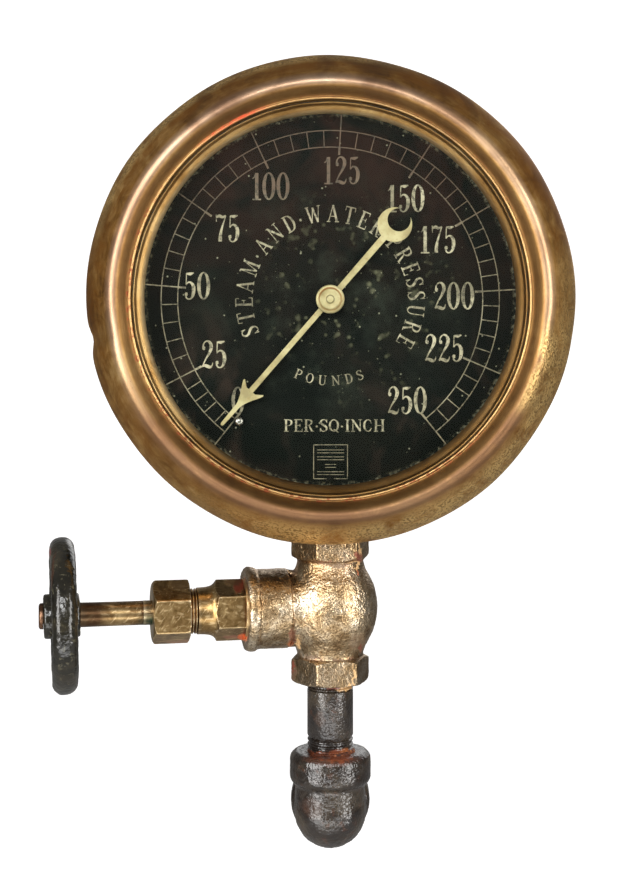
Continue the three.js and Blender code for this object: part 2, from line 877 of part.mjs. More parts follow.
function caseScrew(x) {
  const head = turned([
    [0, CASE_BACK - 1.6],
    [1.8, CASE_BACK - 1.6],
    [2.9, CASE_BACK - 0.9],
    [2.9, CASE_BACK - 0.05],
    [0, CASE_BACK - 0.05],
  ], 20);
  const slot = box(-4, 4, -0.4, 0.4, CASE_BACK - 2, CASE_BACK - 1);
  const shank = rod(1.2, CASE_BACK - 0.1, -6, 12);
  return moved(join(cut(head, slot), shank), x, -50);
}

// ---- assembly ----
const group = new THREE.Group();
group.name = "gauge_and_valve";
const bonnetMatrix = bonnetFrame();
const toBonnet = bonnetMatrix.clone().setPosition(0, 0, 0).elements;
const pipe = alongPipe(0);
const valve = alongPipe(VALVE_Z);

const parts = [
  ["elbow", elbow(), CAST_IRON, pipe],
  ["nipple", nipple(), CAST_IRON, pipe],
  ["valve_body", valveBody(toBonnet), VALVE_BRASS, valve],
  ["seat_ring", seatRing(), BRIGHT_BRASS, bonnetMatrix],
  ["bonnet", bonnet(), NUT_BRASS, bonnetMatrix],
  ["packing_nut", packingNut(), NUT_BRASS, bonnetMatrix],
  ["packing_ring", packingRing(), GRAPHITE, bonnetMatrix],
  ["packing_gland", packingGland(), BRIGHT_BRASS, bonnetMatrix],
  ["valve_stem", stem(), NUT_BRASS, bonnetMatrix],
  ["valve_disc", valveDisc(), BRIGHT_BRASS, bonnetMatrix],
  ["disc_nut", discNut(), BRIGHT_BRASS, bonnetMatrix],
  ["handwheel", handwheel(), BLACK_ENAMEL, bonnetMatrix],
  ["handwheel_nut", wheelNut(), COPPER, bonnetMatrix],
  ["gauge_socket", socket(), VALVE_BRASS, gaugeFrame],
  ["case_shell", caseShell(), BLACK_ENAMEL, gaugeFrame],
  ["front_ring", frontRing(), RING_BRASS, gaugeFrame],
  ["glass_pane", glass(), CLEAR, gaugeFrame],
  ["glass_gasket", gasket(), RUBBER, gaugeFrame],
  ["bevel_ring", bevelRing(), BRIGHT_BRASS, gaugeFrame],
  ["dial_plate", dialPlate(), DIAL_BLACK, gaugeFrame],
  ["dial_screw_top", dialScrew(1), BRIGHT_BRASS, gaugeFrame],
  ["dial_screw_bottom", dialScrew(-1), BRIGHT_BRASS, gaugeFrame],
  ["stop_pin", stopPin(), STEEL, gaugeFrame],
  ["pointer", pointer(), POINTER_CREAM, gaugeFrame],
  ["pointer_hub", pointerHub(), POINTER_CREAM, gaugeFrame],
  ["pinion_arbor", arbor(), STEEL, gaugeFrame],
  ["sector_gear", sector(), MOVEMENT_BRASS, gaugeFrame],
  ["link_bar", linkBar(), MOVEMENT_BRASS, gaugeFrame],
  ["tube_tip", tubeTip(), MOVEMENT_BRASS, gaugeFrame],
  ["bourdon_tube", bourdonTube(), MOVEMENT_BRASS, gaugeFrame],
  ["movement_plate_front", frontPlate(), MOVEMENT_BRASS, gaugeFrame],
  ["movement_plate_back", backPlate(), MOVEMENT_BRASS, gaugeFrame],
  ["pillar_left", pillar(PILLARS[0]), MOVEMENT_BRASS, gaugeFrame],
  ["pillar_right", pillar(PILLARS[1]), MOVEMENT_BRASS, gaugeFrame],
  ["pillar_low", pillar(PILLARS[2]), MOVEMENT_BRASS, gaugeFrame],
  ["movement_screw_low", movementScrew(-24), STEEL, gaugeFrame],
  ["movement_screw_high", movementScrew(-10), STEEL, gaugeFrame],
  ["hairspring", hairspring(), STEEL, gaugeFrame],
  ["hairspring_collet", springCollet(), MOVEMENT_BRASS, gaugeFrame],
  ["hairspring_stud", hairspringStud(), MOVEMENT_BRASS, gaugeFrame],
  ["auxiliary_spring", auxiliarySpring(), STEEL, gaugeFrame],
  ["case_screw_left", caseScrew(-5), STEEL, gaugeFrame],
  ["case_screw_right", caseScrew(5), STEEL, gaugeFrame],
];

for (const [name, shape, look, frame] of parts) group.add(meshOf(name, shape, look, frame));

export default group;
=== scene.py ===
"""Antique dial pressure gauge on a small brass globe valve, with its nipple and elbow.

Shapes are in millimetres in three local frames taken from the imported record:
gauge (x right, y up, z towards the viewer), bonnet (z along the valve's bonnet) and pipe (z up).
"""
import json
import math

import bmesh
import bpy
import numpy as np
from mathutils import Matrix, Vector, noise


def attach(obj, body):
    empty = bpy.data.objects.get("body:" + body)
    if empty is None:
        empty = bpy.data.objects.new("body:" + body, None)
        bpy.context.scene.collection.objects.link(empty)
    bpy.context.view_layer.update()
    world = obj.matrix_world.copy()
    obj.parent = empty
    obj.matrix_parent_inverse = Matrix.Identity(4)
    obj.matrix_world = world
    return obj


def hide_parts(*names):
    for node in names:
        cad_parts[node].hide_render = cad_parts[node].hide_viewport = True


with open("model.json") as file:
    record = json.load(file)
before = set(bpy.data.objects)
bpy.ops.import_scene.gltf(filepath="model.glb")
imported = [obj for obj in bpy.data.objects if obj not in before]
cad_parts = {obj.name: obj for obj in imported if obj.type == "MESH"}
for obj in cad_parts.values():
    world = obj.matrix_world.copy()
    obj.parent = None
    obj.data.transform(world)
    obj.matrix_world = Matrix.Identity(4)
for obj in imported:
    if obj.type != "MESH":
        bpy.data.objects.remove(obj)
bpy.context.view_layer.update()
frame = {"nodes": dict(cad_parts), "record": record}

MM = 0.001
FLOOR_GLOW, FLOOR_DIM = 0.62, 0.4
joints = {j["name"]: j for j in frame["record"]["behaviour"]["joints"]}

# ---------------------------------------------------------------- frames
GAUGE_AT = Vector(joints["pointer_turn"]["pos_m"])
VALVE_AT = Vector(joints["handwheel_spin"]["pos_m"])
BONNET = Vector(joints["handwheel_spin"]["axis"]).normalized()


def frame_matrix(x, y, z, origin):
    m = Matrix((x, y, z)).transposed().to_4x4()
    m.translation = origin
    return m @ Matrix.Scale(MM, 4)


GAUGE = frame_matrix(Vector((1, 0, 0)), Vector((0, 0, 1)), Vector((0, -1, 0)), GAUGE_AT)
UP = Vector((0, 0, 1))
BONNET_FRAME = frame_matrix(UP.cross(BONNET), UP, BONNET, VALVE_AT)
PIPE = frame_matrix(Vector((1, 0, 0)), Vector((0, 1, 0)), UP, Vector((0, VALVE_AT.y, 0)))
VALVE = frame_matrix(Vector((1, 0, 0)), Vector((0, 1, 0)), UP, VALVE_AT)
BONNET_TURN = math.degrees(math.atan2(-BONNET.y, -BONNET.x))


# ---------------------------------------------------------------- meshes
def link(name, mesh, material, body, nodes=()):
    ob = bpy.data.objects.new(name, mesh)
    bpy.context.scene.collection.objects.link(ob)
    mesh.materials.append(material)
    if nodes:
        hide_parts(*nodes)
    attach(ob, body)
    return ob


def clean(mesh, sharp):
    bm = bmesh.new()
    bm.from_mesh(mesh)
    bmesh.ops.remove_doubles(bm, verts=bm.verts, dist=2e-7)
    bmesh.ops.dissolve_degenerate(bm, edges=bm.edges, dist=1e-8)
    bmesh.ops.recalc_face_normals(bm, faces=bm.faces)
    bm.to_mesh(mesh)
    bm.free()
    mesh.shade_smooth()
    mesh.set_sharp_from_angle(angle=math.radians(sharp))


def mesh_from(name, verts, faces, matrix, sharp=40):
    world = [matrix @ Vector(v) for v in verts]
    mesh = bpy.data.meshes.new(name)
    mesh.from_pydata(world, [], faces)
    clean(mesh, sharp)
    return mesh


def rounded(points, radius=0.3, steps=4, closed=True):
    """The outline with each corner turned into a short curve. A point may carry its own radius."""
    n = len(points)
    out = []
    for i, p in enumerate(points):
        r = p[2] if len(p) > 2 else radius
        p = np.array(p[:2], float)
        if not closed and i in (0, n - 1) or r <= 0:
            out.append(tuple(p))
            continue
        a = np.array(points[i - 1][:2], float) - p
        b = np.array(points[(i + 1) % n][:2], float) - p
        la, lb = np.linalg.norm(a), np.linalg.norm(b)
        r = min(r, la * 0.45, lb * 0.45)
        a, b = p + a / la * r, p + b / lb * r
        for k in range(steps + 1):
            t = k / steps
            q = (1 - t) ** 2 * a + 2 * t * (1 - t) * p + t * t * b
            out.append(tuple(q))
    return out


def smooth_line(points, per=4):
    """A Catmull-Rom curve through the points."""
    p = np.array(points, float)
    p = np.vstack([2 * p[0] - p[1], p, 2 * p[-1] - p[-2]])
    out = []
    for i in range(1, len(p) - 2):
        for k in range(per):
            t = k / per
            out.append(
                0.5 * (
                    2 * p[i]
                    + (p[i + 1] - p[i - 1]) * t
                    + (2 * p[i - 1] - 5 * p[i] + 4 * p[i + 1] - p[i + 2]) * t ** 2
                    + (3 * p[i] - p[i - 1] - 3 * p[i + 1] + p[i + 2]) * t ** 3
                )
            )
    out.append(p[-2])
    return [tuple(q) for q in out]


def revolve(name, profile, matrix, segments=96, closed=True, warp=None, sharp=40, first=0.0):
    """Turns a profile of (radius, height) about local z. warp(angle, r, h) may move a point."""
    n = len(profile)
    verts = []
    for i in range(segments):
        a = first + 2 * math.pi * i / segments
        for r, h in profile:
            if warp:
                r, h = warp(a, r, h)
            verts.append((r * math.cos(a), r * math.sin(a), h))
    faces = []
    for i in range(segments):
        k = (i + 1) % segments
        for j in range(n if closed else n - 1):
            m = (j + 1) % n
            faces.append((i * n + j, k * n + j, k * n + m, i * n + m))
    return mesh_from(name, verts, faces, matrix, sharp)


def slab(outline, low, high):
    """Verts and faces of a flat closed outline given thickness."""
    n = len(outline)
    verts = [(x, y, low) for x, y in outline] + [(x, y, high) for x, y in outline]
    faces = [tuple(range(n))[::-1], tuple(range(n, 2 * n))]
    faces += [(i, (i + 1) % n, n + (i + 1) % n, n + i) for i in range(n)]
    return verts, faces


class Pile:
    """Gathers small solids into one mesh."""

    def __init__(self):
        self.verts, self.faces = [], []

    def add(self, verts, faces):
        base = len(self.verts)
        self.verts += list(verts)
        self.faces += [tuple(base + i for i in f) for f in faces]

    def mesh(self, name, matrix, sharp=40):
        return mesh_from(name, self.verts, self.faces, matrix, sharp)


# ---------------------------------------------------------------- sculpted castings
def smooth_min(a, b, k):
    h = np.clip(0.5 + 0.5 * (b - a) / k, 0, 1)
    return b + (a - b) * h - k * h * (1 - h)


def smooth_max(a, b, k):
    return -smooth_min(-a, -b, k)


def tube_distance(p, radius, low, high, k=0.3, axis=2):
    """Distance to a solid round bar along one axis, its rims eased by k."""
    others = [i for i in range(3) if i != axis]
    rho = np.hypot(p[:, others[0]], p[:, others[1]])
    ends = np.maximum(p[:, axis] - high, low - p[:, axis])
    return smooth_max(rho - radius, ends, k)


def hexagon_distance(p, corner, low, high, first, k=0.25, chamfer=1.0):
    """Distance to a hexagonal prism along z whose corners are turned down at both ends."""
    rho = np.hypot(p[:, 0], p[:, 1])
    a = np.arctan2(p[:, 1], p[:, 0])
    third = math.pi / 3
    local = np.mod(a - math.radians(first), third) - third / 2
    flat = rho * np.cos(local) - corner * math.cos(third / 2)
    ends = np.maximum(p[:, 2] - high, low - p[:, 2])
    d = smooth_max(flat, ends, k)
    slope = math.radians(60)
    middle, half = (low + high) / 2, (high - low) / 2
    reach = corner * math.cos(third / 2) + 0.25 * chamfer
    cone = (rho - reach) * math.cos(slope) + (np.abs(p[:, 2] - middle) - half) * math.sin(slope)
    return smooth_max(d, cone, k)


def gradient(field, p, step=0.02):
    g = np.empty_like(p)
    for axis in range(3):
        d = np.zeros(3)
        d[axis] = step
        g[:, axis] = field(p + d) - field(p - d)
    return g / np.maximum(np.linalg.norm(g, axis=1, keepdims=True), 1e-9)


def vertex_noise(p, size, octaves=3):
    return np.array([noise.fractal(Vector(q) / size, 0.6, 2.0, octaves) for q in p])


def casting(name, seeds, field, matrix, voxel, grain, sharp=60):
    """A closed skin on the zero surface of field, started from a voxel remesh of the seed meshes."""
    bm = bmesh.new()
    for seed in seeds:
        bm.from_mesh(seed)
    joined = bpy.data.meshes.new(name + "_seed")
    bm.to_mesh(joined)
    bm.free()
    temp = bpy.data.objects.new(name + "_seed", joined)
    bpy.context.scene.collection.objects.link(temp)
    mod = temp.modifiers.new("skin", "REMESH")
    mod.mode = "VOXEL"
    mod.voxel_size = voxel
    bpy.context.view_layer.update()
    graph = bpy.context.evaluated_depsgraph_get()
    mesh = bpy.data.meshes.new_from_object(temp.evaluated_get(graph))
    mesh.name = name
    bpy.data.objects.remove(temp)
    p = np.empty(len(mesh.vertices) * 3)
    mesh.vertices.foreach_get("co", p)
    p = p.reshape(-1, 3)
    for _ in range(7):
        d = field(p)
        p -= np.clip(d, -0.8, 0.8)[:, None] * gradient(field, p) * 0.9
    normal = gradient(field, p)
    for size, depth in grain:
        p += normal * (vertex_noise(p + 31.7, size) * depth)[:, None]
    world = np.array(matrix)
    p = p @ world[:3, :3].T + world[:3, 3]
    mesh.vertices.foreach_set("co", p.reshape(-1))
    mesh.update()
    mesh.shade_smooth()
    mesh.materials.clear()
    return mesh


UNIT = Matrix.Identity(4)


def seed_bar(radius, low, high, turn=UNIT, segments=48):
    profile = [(0, low), (radius, low), (radius, high), (0, high)]
    return revolve("seed", profile, turn, segments, closed=False)


# ---------------------------------------------------------------- materials
class Field:
    """A value over the surface, which adds, subtracts and multiplies as nodes of its material."""

    def __init__(self, look, socket):
        self.look, self.socket = look, socket

    def __add__(self, other):
        return self.look.math("ADD", self, other)

    __radd__ = __add__

    def __sub__(self, other):
        return self.look.math("SUBTRACT", self, other)

    def __rsub__(self, other):
        return self.look.math("SUBTRACT", other, self)

    def __mul__(self, other):
        return self.look.math("MULTIPLY", self, other)

    __rmul__ = __mul__

    def __abs__(self):
        return self.look.math("ABSOLUTE", self)


class Look:
    """A small builder of procedural node materials on one Principled shader."""

    def __init__(self, name):
        self.material = bpy.data.materials.new(name)
        self.material.use_nodes = True
        self.tree = self.material.node_tree
        self.tree.nodes.clear()
        self.out = self.tree.nodes.new("ShaderNodeOutputMaterial")
        self.shader = self.tree.nodes.new("ShaderNodeBsdfPrincipled")
        self.tree.links.new(self.shader.outputs[0], self.out.inputs[0])
        coords = self.tree.nodes.new("ShaderNodeTexCoord")
        self.place = coords.outputs["Object"]

    def node(self, kind, **settings):
        made = self.tree.nodes.new(kind)
        for key, value in settings.items():
            setattr(made, key, value)
        return made

    def put(self, socket, value):
        if isinstance(value, Field):
            value = value.socket
        if isinstance(value, bpy.types.NodeSocket):
            self.tree.links.new(value, socket)
        elif isinstance(value, (tuple, list)) and len(value) == 3 and socket.type == "RGBA":
            socket.default_value = (*value, 1)
        else:
            socket.default_value = value

    def noise(self, size_mm, detail=4, roughness=0.55, distortion=0.0, at=None, stretch=None):
        at = self.place if at is None else at
        if stretch:
            scale = self.node("ShaderNodeMapping")
            self.put(scale.inputs["Vector"], at)
            scale.inputs["Scale"].default_value = stretch
            at = scale.outputs[0]
        n = self.node("ShaderNodeTexNoise")
        self.put(n.inputs["Vector"], at)
        n.inputs["Scale"].default_value = 1000 / size_mm
        n.inputs["Detail"].default_value = detail
        n.inputs["Roughness"].default_value = roughness
        n.inputs["Distortion"].default_value = distortion
        return Field(self, n.outputs["Fac"])

    def cells(self, size_mm, feature="F1", at=None):
        n = self.node("ShaderNodeTexVoronoi", feature=feature)
        self.put(n.inputs["Vector"], self.place if at is None else at)
        n.inputs["Scale"].default_value = 1000 / size_mm
        return Field(self, n.outputs["Distance"])

    def span(self, value, low, high, to_low=0.0, to_high=1.0):
        n = self.node("ShaderNodeMapRange")
        self.put(n.inputs["Value"], value)
        for key, v in zip(("From Min", "From Max", "To Min", "To Max"), (low, high, to_low, to_high)):
            n.inputs[key].default_value = v
        return Field(self, n.outputs[0])

    def math(self, how, a, b=0.0):
        n = self.node("ShaderNodeMath", operation=how)
        self.put(n.inputs[0], a)
        self.put(n.inputs[1], b)
        return Field(self, n.outputs[0])

    def most(self, a, b):
        return self.math("MAXIMUM", a, b)

    def far(self, dx, dz):
        return self.math("SQRT", dx * dx + dz * dz)

    def pointiness(self):
        return Field(self, self.node("ShaderNodeNewGeometry").outputs["Pointiness"])

    def ramp(self, value, stops):
        n = self.node("ShaderNodeValToRGB")
        self.put(n.inputs[0], value)
        ramp = n.color_ramp
        while len(ramp.elements) < len(stops):
            ramp.elements.new(0.5)
        for element, (at, colour) in zip(ramp.elements, stops):
            element.position = at
            element.color = (*srgb(colour), 1)
        return n.outputs[0]

    def mix(self, share, a, b):
        n = self.node("ShaderNodeMix", data_type="RGBA")
        self.put(n.inputs[0], share)
        self.put(n.inputs[6], srgb(a) if isinstance(a, (tuple, list)) else a)
        self.put(n.inputs[7], srgb(b) if isinstance(b, (tuple, list)) else b)
        return n.outputs[2]

    def axis(self, which, origin=0.0):
        """Coordinate in millimetres along a row axis, counted from origin in metres."""
        n = self.node("ShaderNodeSeparateXYZ")
        self.put(n.inputs[0], self.place)
        return (Field(self, n.outputs[which]) - origin) * 1000

    def gauge_radius(self):
        return self.far(self.axis(0, GAUGE_AT.x), self.axis(2, GAUGE_AT.z))

    def paint_patches(self, base, spots, ragged=2.2, front=True):
        """Paints patches at (x, z) places in millimetres of the row frame, stains and painted light alike.
        Gives colour and cover.
        """
        wobble = self.node("ShaderNodeTexNoise")
        self.put(wobble.inputs["Vector"], self.place)
        wobble.inputs["Scale"].default_value = 420
        wobble.inputs["Detail"].default_value = 5
        wobble.inputs["Roughness"].default_value = 0.65
        parts = self.node("ShaderNodeSeparateColor")
        self.put(parts.inputs[0], wobble.outputs["Color"])
        shift = [(Field(self, parts.outputs[i]) - 0.5) * (ragged * 2) for i in (0, 1)]
        x, z = self.axis(0) + shift[0], self.axis(2) + shift[1]
        near = self.span(self.axis(1, VALVE_AT.y), 2.0, -1.0)
        cover = None
        for cx, cz, rx, rz, colour, amount in spots:
            far = self.far((x - cx) * (1 / rx), (z - cz) * (1 / rz))
            mask = self.span(far, 1.15, 0.75, 0.0, amount)
            if front:
                mask = mask * near
            base = self.mix(mask, base, colour)
            cover = mask if cover is None else self.most(cover, mask)
        return base, cover

    def bump(self, height, depth_mm, strength=1.0, under=None):
        n = self.node("ShaderNodeBump")
        n.inputs["Strength"].default_value = strength
        n.inputs["Distance"].default_value = depth_mm * MM
        self.put(n.inputs["Height"], height)
        if under is not None:
            self.put(n.inputs["Normal"], under)
        return n.outputs[0]

    def set(self, **values):
        names = {
            "colour": "Base Color",
            "rough": "Roughness",
            "metal": "Metallic",
            "normal": "Normal",
            "specular": "Specular IOR Level",
        }
        for key, value in values.items():
            self.put(self.shader.inputs[names[key]], value)
        return self.material


def srgb(colour):
    """Linear colour from 0..255 sRGB numbers."""
    out = []
    for c in colour:
        c = c / 255
        out.append(c / 12.92 if c <= 0.04045 else ((c + 0.055) / 1.055) ** 2.4)
    return tuple(out)


def ring_brass():
    """Spun brass: a rubbed rosy crest carrying a painted highlight that is stronger on the left, with painted
    shade on its lower part; a dull brown slope outside it; a brown hollow inside it, darkened as painted
    shade; a painted highlight along the bead.
    """
    k = Look("ring_brass")
    r = k.gauge_radius()
    x, z = k.axis(0, GAUGE_AT.x), k.axis(2, GAUGE_AT.z)
    broad = k.noise(34, 3, 0.5, 0.5)
    streaky = k.noise(8, 5, 0.65, 1.2)
    fine = k.noise(1.3, 5, 0.7)
    hair = k.noise(0.3, 3, 0.6)
    angle = k.math("ARCTAN2", z, x)
    spun_at = k.node("ShaderNodeCombineXYZ")
    k.put(spun_at.inputs[0], angle * 0.008)
    k.put(spun_at.inputs[1], r * 0.001)
    spun = k.noise(0.9, 4, 0.6, 0.6, at=spun_at.outputs[0])
    patina = broad * 0.45 + streaky * 0.35
    patina = patina + spun * 0.2
    base = k.ramp(patina, [
        (0.38, (108, 74, 38)), (0.46, (152, 110, 56)), (0.54, (182, 140, 80)), (0.62, (206, 172, 112)),
    ])
    # Crest: rubbed rosy polish, and a painted highlight, stronger on the left and fading towards the bottom.
    polish_and_highlight = k.span(r, 59.9, 61.0) * k.span(r, 64.2, 62.4)
    polish_and_highlight = polish_and_highlight * k.span(z, -30, -4, 0.3, 1.0)
    rose_polish_and_highlight = k.mix(k.span(broad, 0.42, 0.6), (168, 136, 112), (206, 180, 156))
    highlight_left_side = k.span(x, 10, 40, 0.85, 0.6)
    base = k.mix(polish_and_highlight * highlight_left_side, base, rose_polish_and_highlight)
    crest = k.span(r, 59.0, 60.5) * k.span(r, 66.0, 63.0)
    # Painted shade: the crest darkens along the bottom of the ring; a dull darker patch also sits at the upper
    # left.
    dull_patch_and_painted_shade = k.span(abs(angle - 2.07), 0.17, 0.05)
    dull_patch_and_painted_shade = k.most(dull_patch_and_painted_shade, k.span(z + abs(x) * 0.25, 2, -22))
    dull_patch_and_painted_shade = dull_patch_and_painted_shade * k.span(streaky, 0.36, 0.52, 0.65, 1.0)
    base = k.mix(crest * dull_patch_and_painted_shade * 0.8, base, (116, 86, 66))
    # The hollow inside the crest: brown patina, darkened further as painted shade.
    cove_patina_and_shade = k.span(r, 60.8, 59.6) * k.span(r, 57.0, 57.6)
    base = k.mix(cove_patina_and_shade * 0.85, base, (92, 68, 42))
    outer = k.span(r, 63.5, 66.5)
    dull = outer * k.span(k.noise(15, 5, 0.7, 0.6), 0.4, 0.58)
    base = k.mix(dull * 0.75, base, (144, 92, 34))
    rubbed = k.span(x * 0.62 - z, 18, 58)
    high = z - x * 0.55
    top_rub = k.span(high, 48, 66) * k.span(r, 67.5, 69.0)
    rubbed = k.most(rubbed * k.span(r, 63.5, 66.5), top_rub)
    sandy = k.span(abs(angle + 0.33), 0.24, 0.12)
    rubbed = k.most(rubbed, sandy * k.span(r, 60.2, 61.4))
    rubbed = rubbed * k.span(k.noise(7, 5, 0.7, 0.4), 0.34, 0.52)
    base = k.mix(rubbed * 0.85, base, (216, 182, 120))
    base = k.mix(rubbed * k.span(k.noise(0.7, 1.5, 0.5), 0.5, 0.6, 0.0, 0.7), base, (112, 80, 40))
    # Painted shade: mottled darkening over the upper part of the ring.
    top_painted_shade = k.span(k.noise(22, 3, 0.6, 0.8), 0.5, 0.66) * k.span(z, 10, 50)
    base = k.mix(top_painted_shade * 0.45, base, (84, 58, 40))
    # Painted highlight: a lighter, smoother line along the bead.
    lip_highlight = k.span(abs(r - 56.8), 0.6, 0.3)
    base = k.mix(lip_highlight * 0.6, base, (206, 170, 118))
    low_left = k.span(x * 0.7 + z, 10, -30)
    red = k.span(abs(r - 57.0), 1.0, 0.5) * k.span(k.noise(1.6, 5, 0.7), 0.5, 0.58)
    base = k.mix(red * k.span(low_left, 0, 1, 0.2, 0.8), base, (130, 60, 40))
    off = abs(angle - math.radians(119))
    stain = k.span(off, 0.24, 0.08) * k.span(abs(r - 57.0), 0.6, 0.3)
    stain = stain * k.span(k.noise(2.5, 4, 0.7), 0.4, 0.55, 0.35, 1.0)
    base = k.mix(stain, base, (206, 80, 42))
    specks = k.span(k.noise(0.6, 3, 0.6), 0.64, 0.72)
    base = k.mix(specks * 0.4, base, (84, 52, 28))
    rough = k.span(streaky * 0.5 + fine * 0.5, 0.35, 0.68, 0.42, 0.56)
    rough = rough - polish_and_highlight * 0.03
    rough = rough - lip_highlight * 0.12
    rough = rough + crest * dull_patch_and_painted_shade * 0.08
    scratch = k.noise(0.7, 1.2, 0.5)
    normal = k.bump(k.noise(24, 2, 0.4), 0.5, 0.2)
    normal = k.bump(hair, 0.02, 0.3, normal)
    normal = k.bump(spun, 0.05, 0.5, normal)
    normal = k.bump(scratch * rubbed, 0.25, 0.9, normal)
    normal = k.bump(fine, 0.05, 0.2, normal)
    metal = 1.0 - stain * 0.8
    return k.set(colour=base, rough=rough, metal=metal, normal=normal)


def bevel_brass():
    k = Look("bevel_brass")
    around = k.noise(16, 4, 0.6, 0.5)
    base = k.ramp(around, [(0.35, (158, 116, 64)), (0.5, (192, 150, 94)), (0.65, (214, 178, 124))])
    # Painted highlight: a pale band along the bevel's inner edge.
    inner = k.span(k.gauge_radius(), 54.9, 54.2)
    base = k.mix(inner * 0.6, base, (226, 204, 164))
    # Painted shade: the bevel darkens towards the lower right.
    side = k.axis(0, GAUGE_AT.x) - k.axis(2, GAUGE_AT.z)
    base = k.mix(k.span(side, -30, 30) * 0.85, base, (126, 92, 52))
    spots = k.span(k.noise(1.3, 4, 0.7), 0.62, 0.72)
    base = k.mix(spots * 0.5, base, (130, 88, 50))
    rough = k.span(k.noise(2, 4), 0.3, 0.7, 0.38, 0.5)
    return k.set(colour=base, rough=rough, metal=1.0, normal=k.bump(k.noise(0.8, 3), 0.03, 0.3))


RED_LEAD, CREAM, UMBER = (114, 48, 30), (218, 176, 122), (74, 50, 36)
# Patches on the valve casting: stains and thread compound, and one patch of painted shade.
VALVE_STAINS_AND_SHADE = [
    (8.4, 76.8, 0.9, 2.2, RED_LEAD, 0.85), (8.7, 79.2, 0.6, 2.0, CREAM, 0.95),
    (5.8, 75.3, 2.4, 0.35, CREAM, 0.8),
    (8.0, 73.9, 0.45, 1.5, CREAM, 0.85), (8.1, 72.3, 0.45, 0.6, (190, 88, 44), 0.8),
    (-2.2, 75.9, 3.2, 0.4, RED_LEAD, 0.5),
    (3.2, 74.9, 3.6, 0.6, UMBER, 0.6), (-11.2, 54.0, 1.2, 3.0, (104, 52, 32), 0.8),
    (-9.3, 51.9, 0.9, 2.6, CREAM, 0.85),
    (-11.6, 51.2, 1.0, 1.2, (170, 92, 50), 0.7), (-25.4, 53.2, 1.0, 1.5, (206, 108, 56), 0.9),
    (-25.6, 69.4, 0.7, 1.4, RED_LEAD, 0.8),
    # Painted shade: the first patch on the next line, dark brown-grey on the lower right of the body.
    (7.6, 52.2, 2.6, 3.0, (96, 74, 56), 0.5), (8.9, 49.6, 0.7, 1.2, RED_LEAD, 0.75),
    (-11.0, 42.5, 0.7, 4.0, UMBER, 0.8),
    (-11.2, 43.6, 0.5, 2.0, RED_LEAD, 0.75), (6.9, 41.6, 0.3, 4.2, CREAM, 0.7),
    (5.6, 39.6, 0.6, 0.6, CREAM, 0.7),
    (-10.6, 73.5, 1.0, 2.4, UMBER, 0.6), (-6.0, 47.6, 4.0, 0.5, UMBER, 0.6),
    (3.4, 47.0, 4.0, 0.5, UMBER, 0.6),
]


def cast_brass():
    """Rough cast valve brass: dark pits, bright grains, old thread compound in the corners, and painted shade
    in the creases, over the top and in one patch.
    """
    k = Look("cast_brass")
    broad = k.noise(10, 3, 0.55, 0.4)
    mid = k.noise(2.6, 2, 0.5)
    grain = k.noise(0.75, 1.2, 0.5)
    tiny = k.noise(0.55, 2, 0.6)
    base = k.ramp(broad * 0.75 + mid * 0.25, [
        (0.36, (134, 108, 76)), (0.46, (166, 142, 108)), (0.54, (194, 174, 144)), (0.66, (222, 208, 186)),
    ])
    pits = k.span(tiny, 0.5, 0.64)
    base = k.mix(pits * 0.75, base, (84, 60, 34))
    # Painted shade: darker golden brown over the top of the casting.
    high = k.span(k.axis(2, VALVE_AT.z), 3, 12)
    base = k.mix(high * k.span(broad, 0.4, 0.6, 0.1, 0.45), base, (140, 100, 54))
    low = k.span(k.axis(2, VALVE_AT.z), -14, -16)
    base = k.mix(low * 0.6, base, (118, 96, 68))
    point = k.pointiness()
    # Darker red-brown in the concave creases: painted shade, with old thread compound in the corners.
    hollow = k.span(point, 0.497, 0.47) * k.span(k.noise(3.2, 4, 0.6), 0.44, 0.58)
    base = k.mix(hollow * 0.6, base, (104, 58, 34))
    base, cover = k.paint_patches(base, VALVE_STAINS_AND_SHADE)
    rough = k.span(tiny, 0.35, 0.65, 0.27, 0.4) + cover * 0.25
    normal = k.bump(mid, 0.25, 0.4)
    normal = k.bump(grain, 0.13, 0.9, normal)
    normal = k.bump(k.noise(0.55, 1, 0.5), 0.17, 0.9, normal)
    metal = 1.0 - cover * 0.85
    return k.set(colour=base, rough=rough, metal=metal, normal=normal)


def turned_brass(name, dark, middle, light, scratch=0.5):
    k = Look(name)
    broad = k.noise(7, 4, 0.6, 0.8)
    fine = k.noise(1.1, 2, 0.5)
    one = k.noise(0.6, 1.5, 0.5, 0.3, stretch=(0.1, 1, 0.5))
    turned = k.node("ShaderNodeMapping")
    k.put(turned.inputs["Vector"], k.place)
    turned.inputs["Rotation"].default_value = (0.2, 0.9, 0.3)
    two = k.noise(0.65, 1.5, 0.5, 0.3, at=turned.outputs[0], stretch=(0.08, 1, 1))
    lines = k.most(one, two)
    both = broad * 0.7 + fine * 0.3
    base = k.ramp(both, [(0.3, dark), (0.48, middle), (0.68, light)])
    base = k.mix(k.span(lines, 0.6, 0.7) * 0.8, base, tuple(min(255, c + 30) for c in light))
    point = k.pointiness()
    # Painted shade: darker in the concave creases.
    base = k.mix(k.span(point, 0.495, 0.46) * 0.8, base, (92, 56, 34))
    base = k.mix(k.span(point, 0.51, 0.56) * 0.6, base, (232, 212, 172))
    rough = k.span(fine * 0.5 + lines * 0.5, 0.35, 0.65, 0.28, 0.36)
    normal = k.bump(lines, 0.05, scratch)
    normal = k.bump(fine, 0.015, scratch * 0.6, normal)
    normal = k.bump(k.noise(0.5, 1, 0.5), 0.04, scratch, normal)
    return k, base, rough, normal


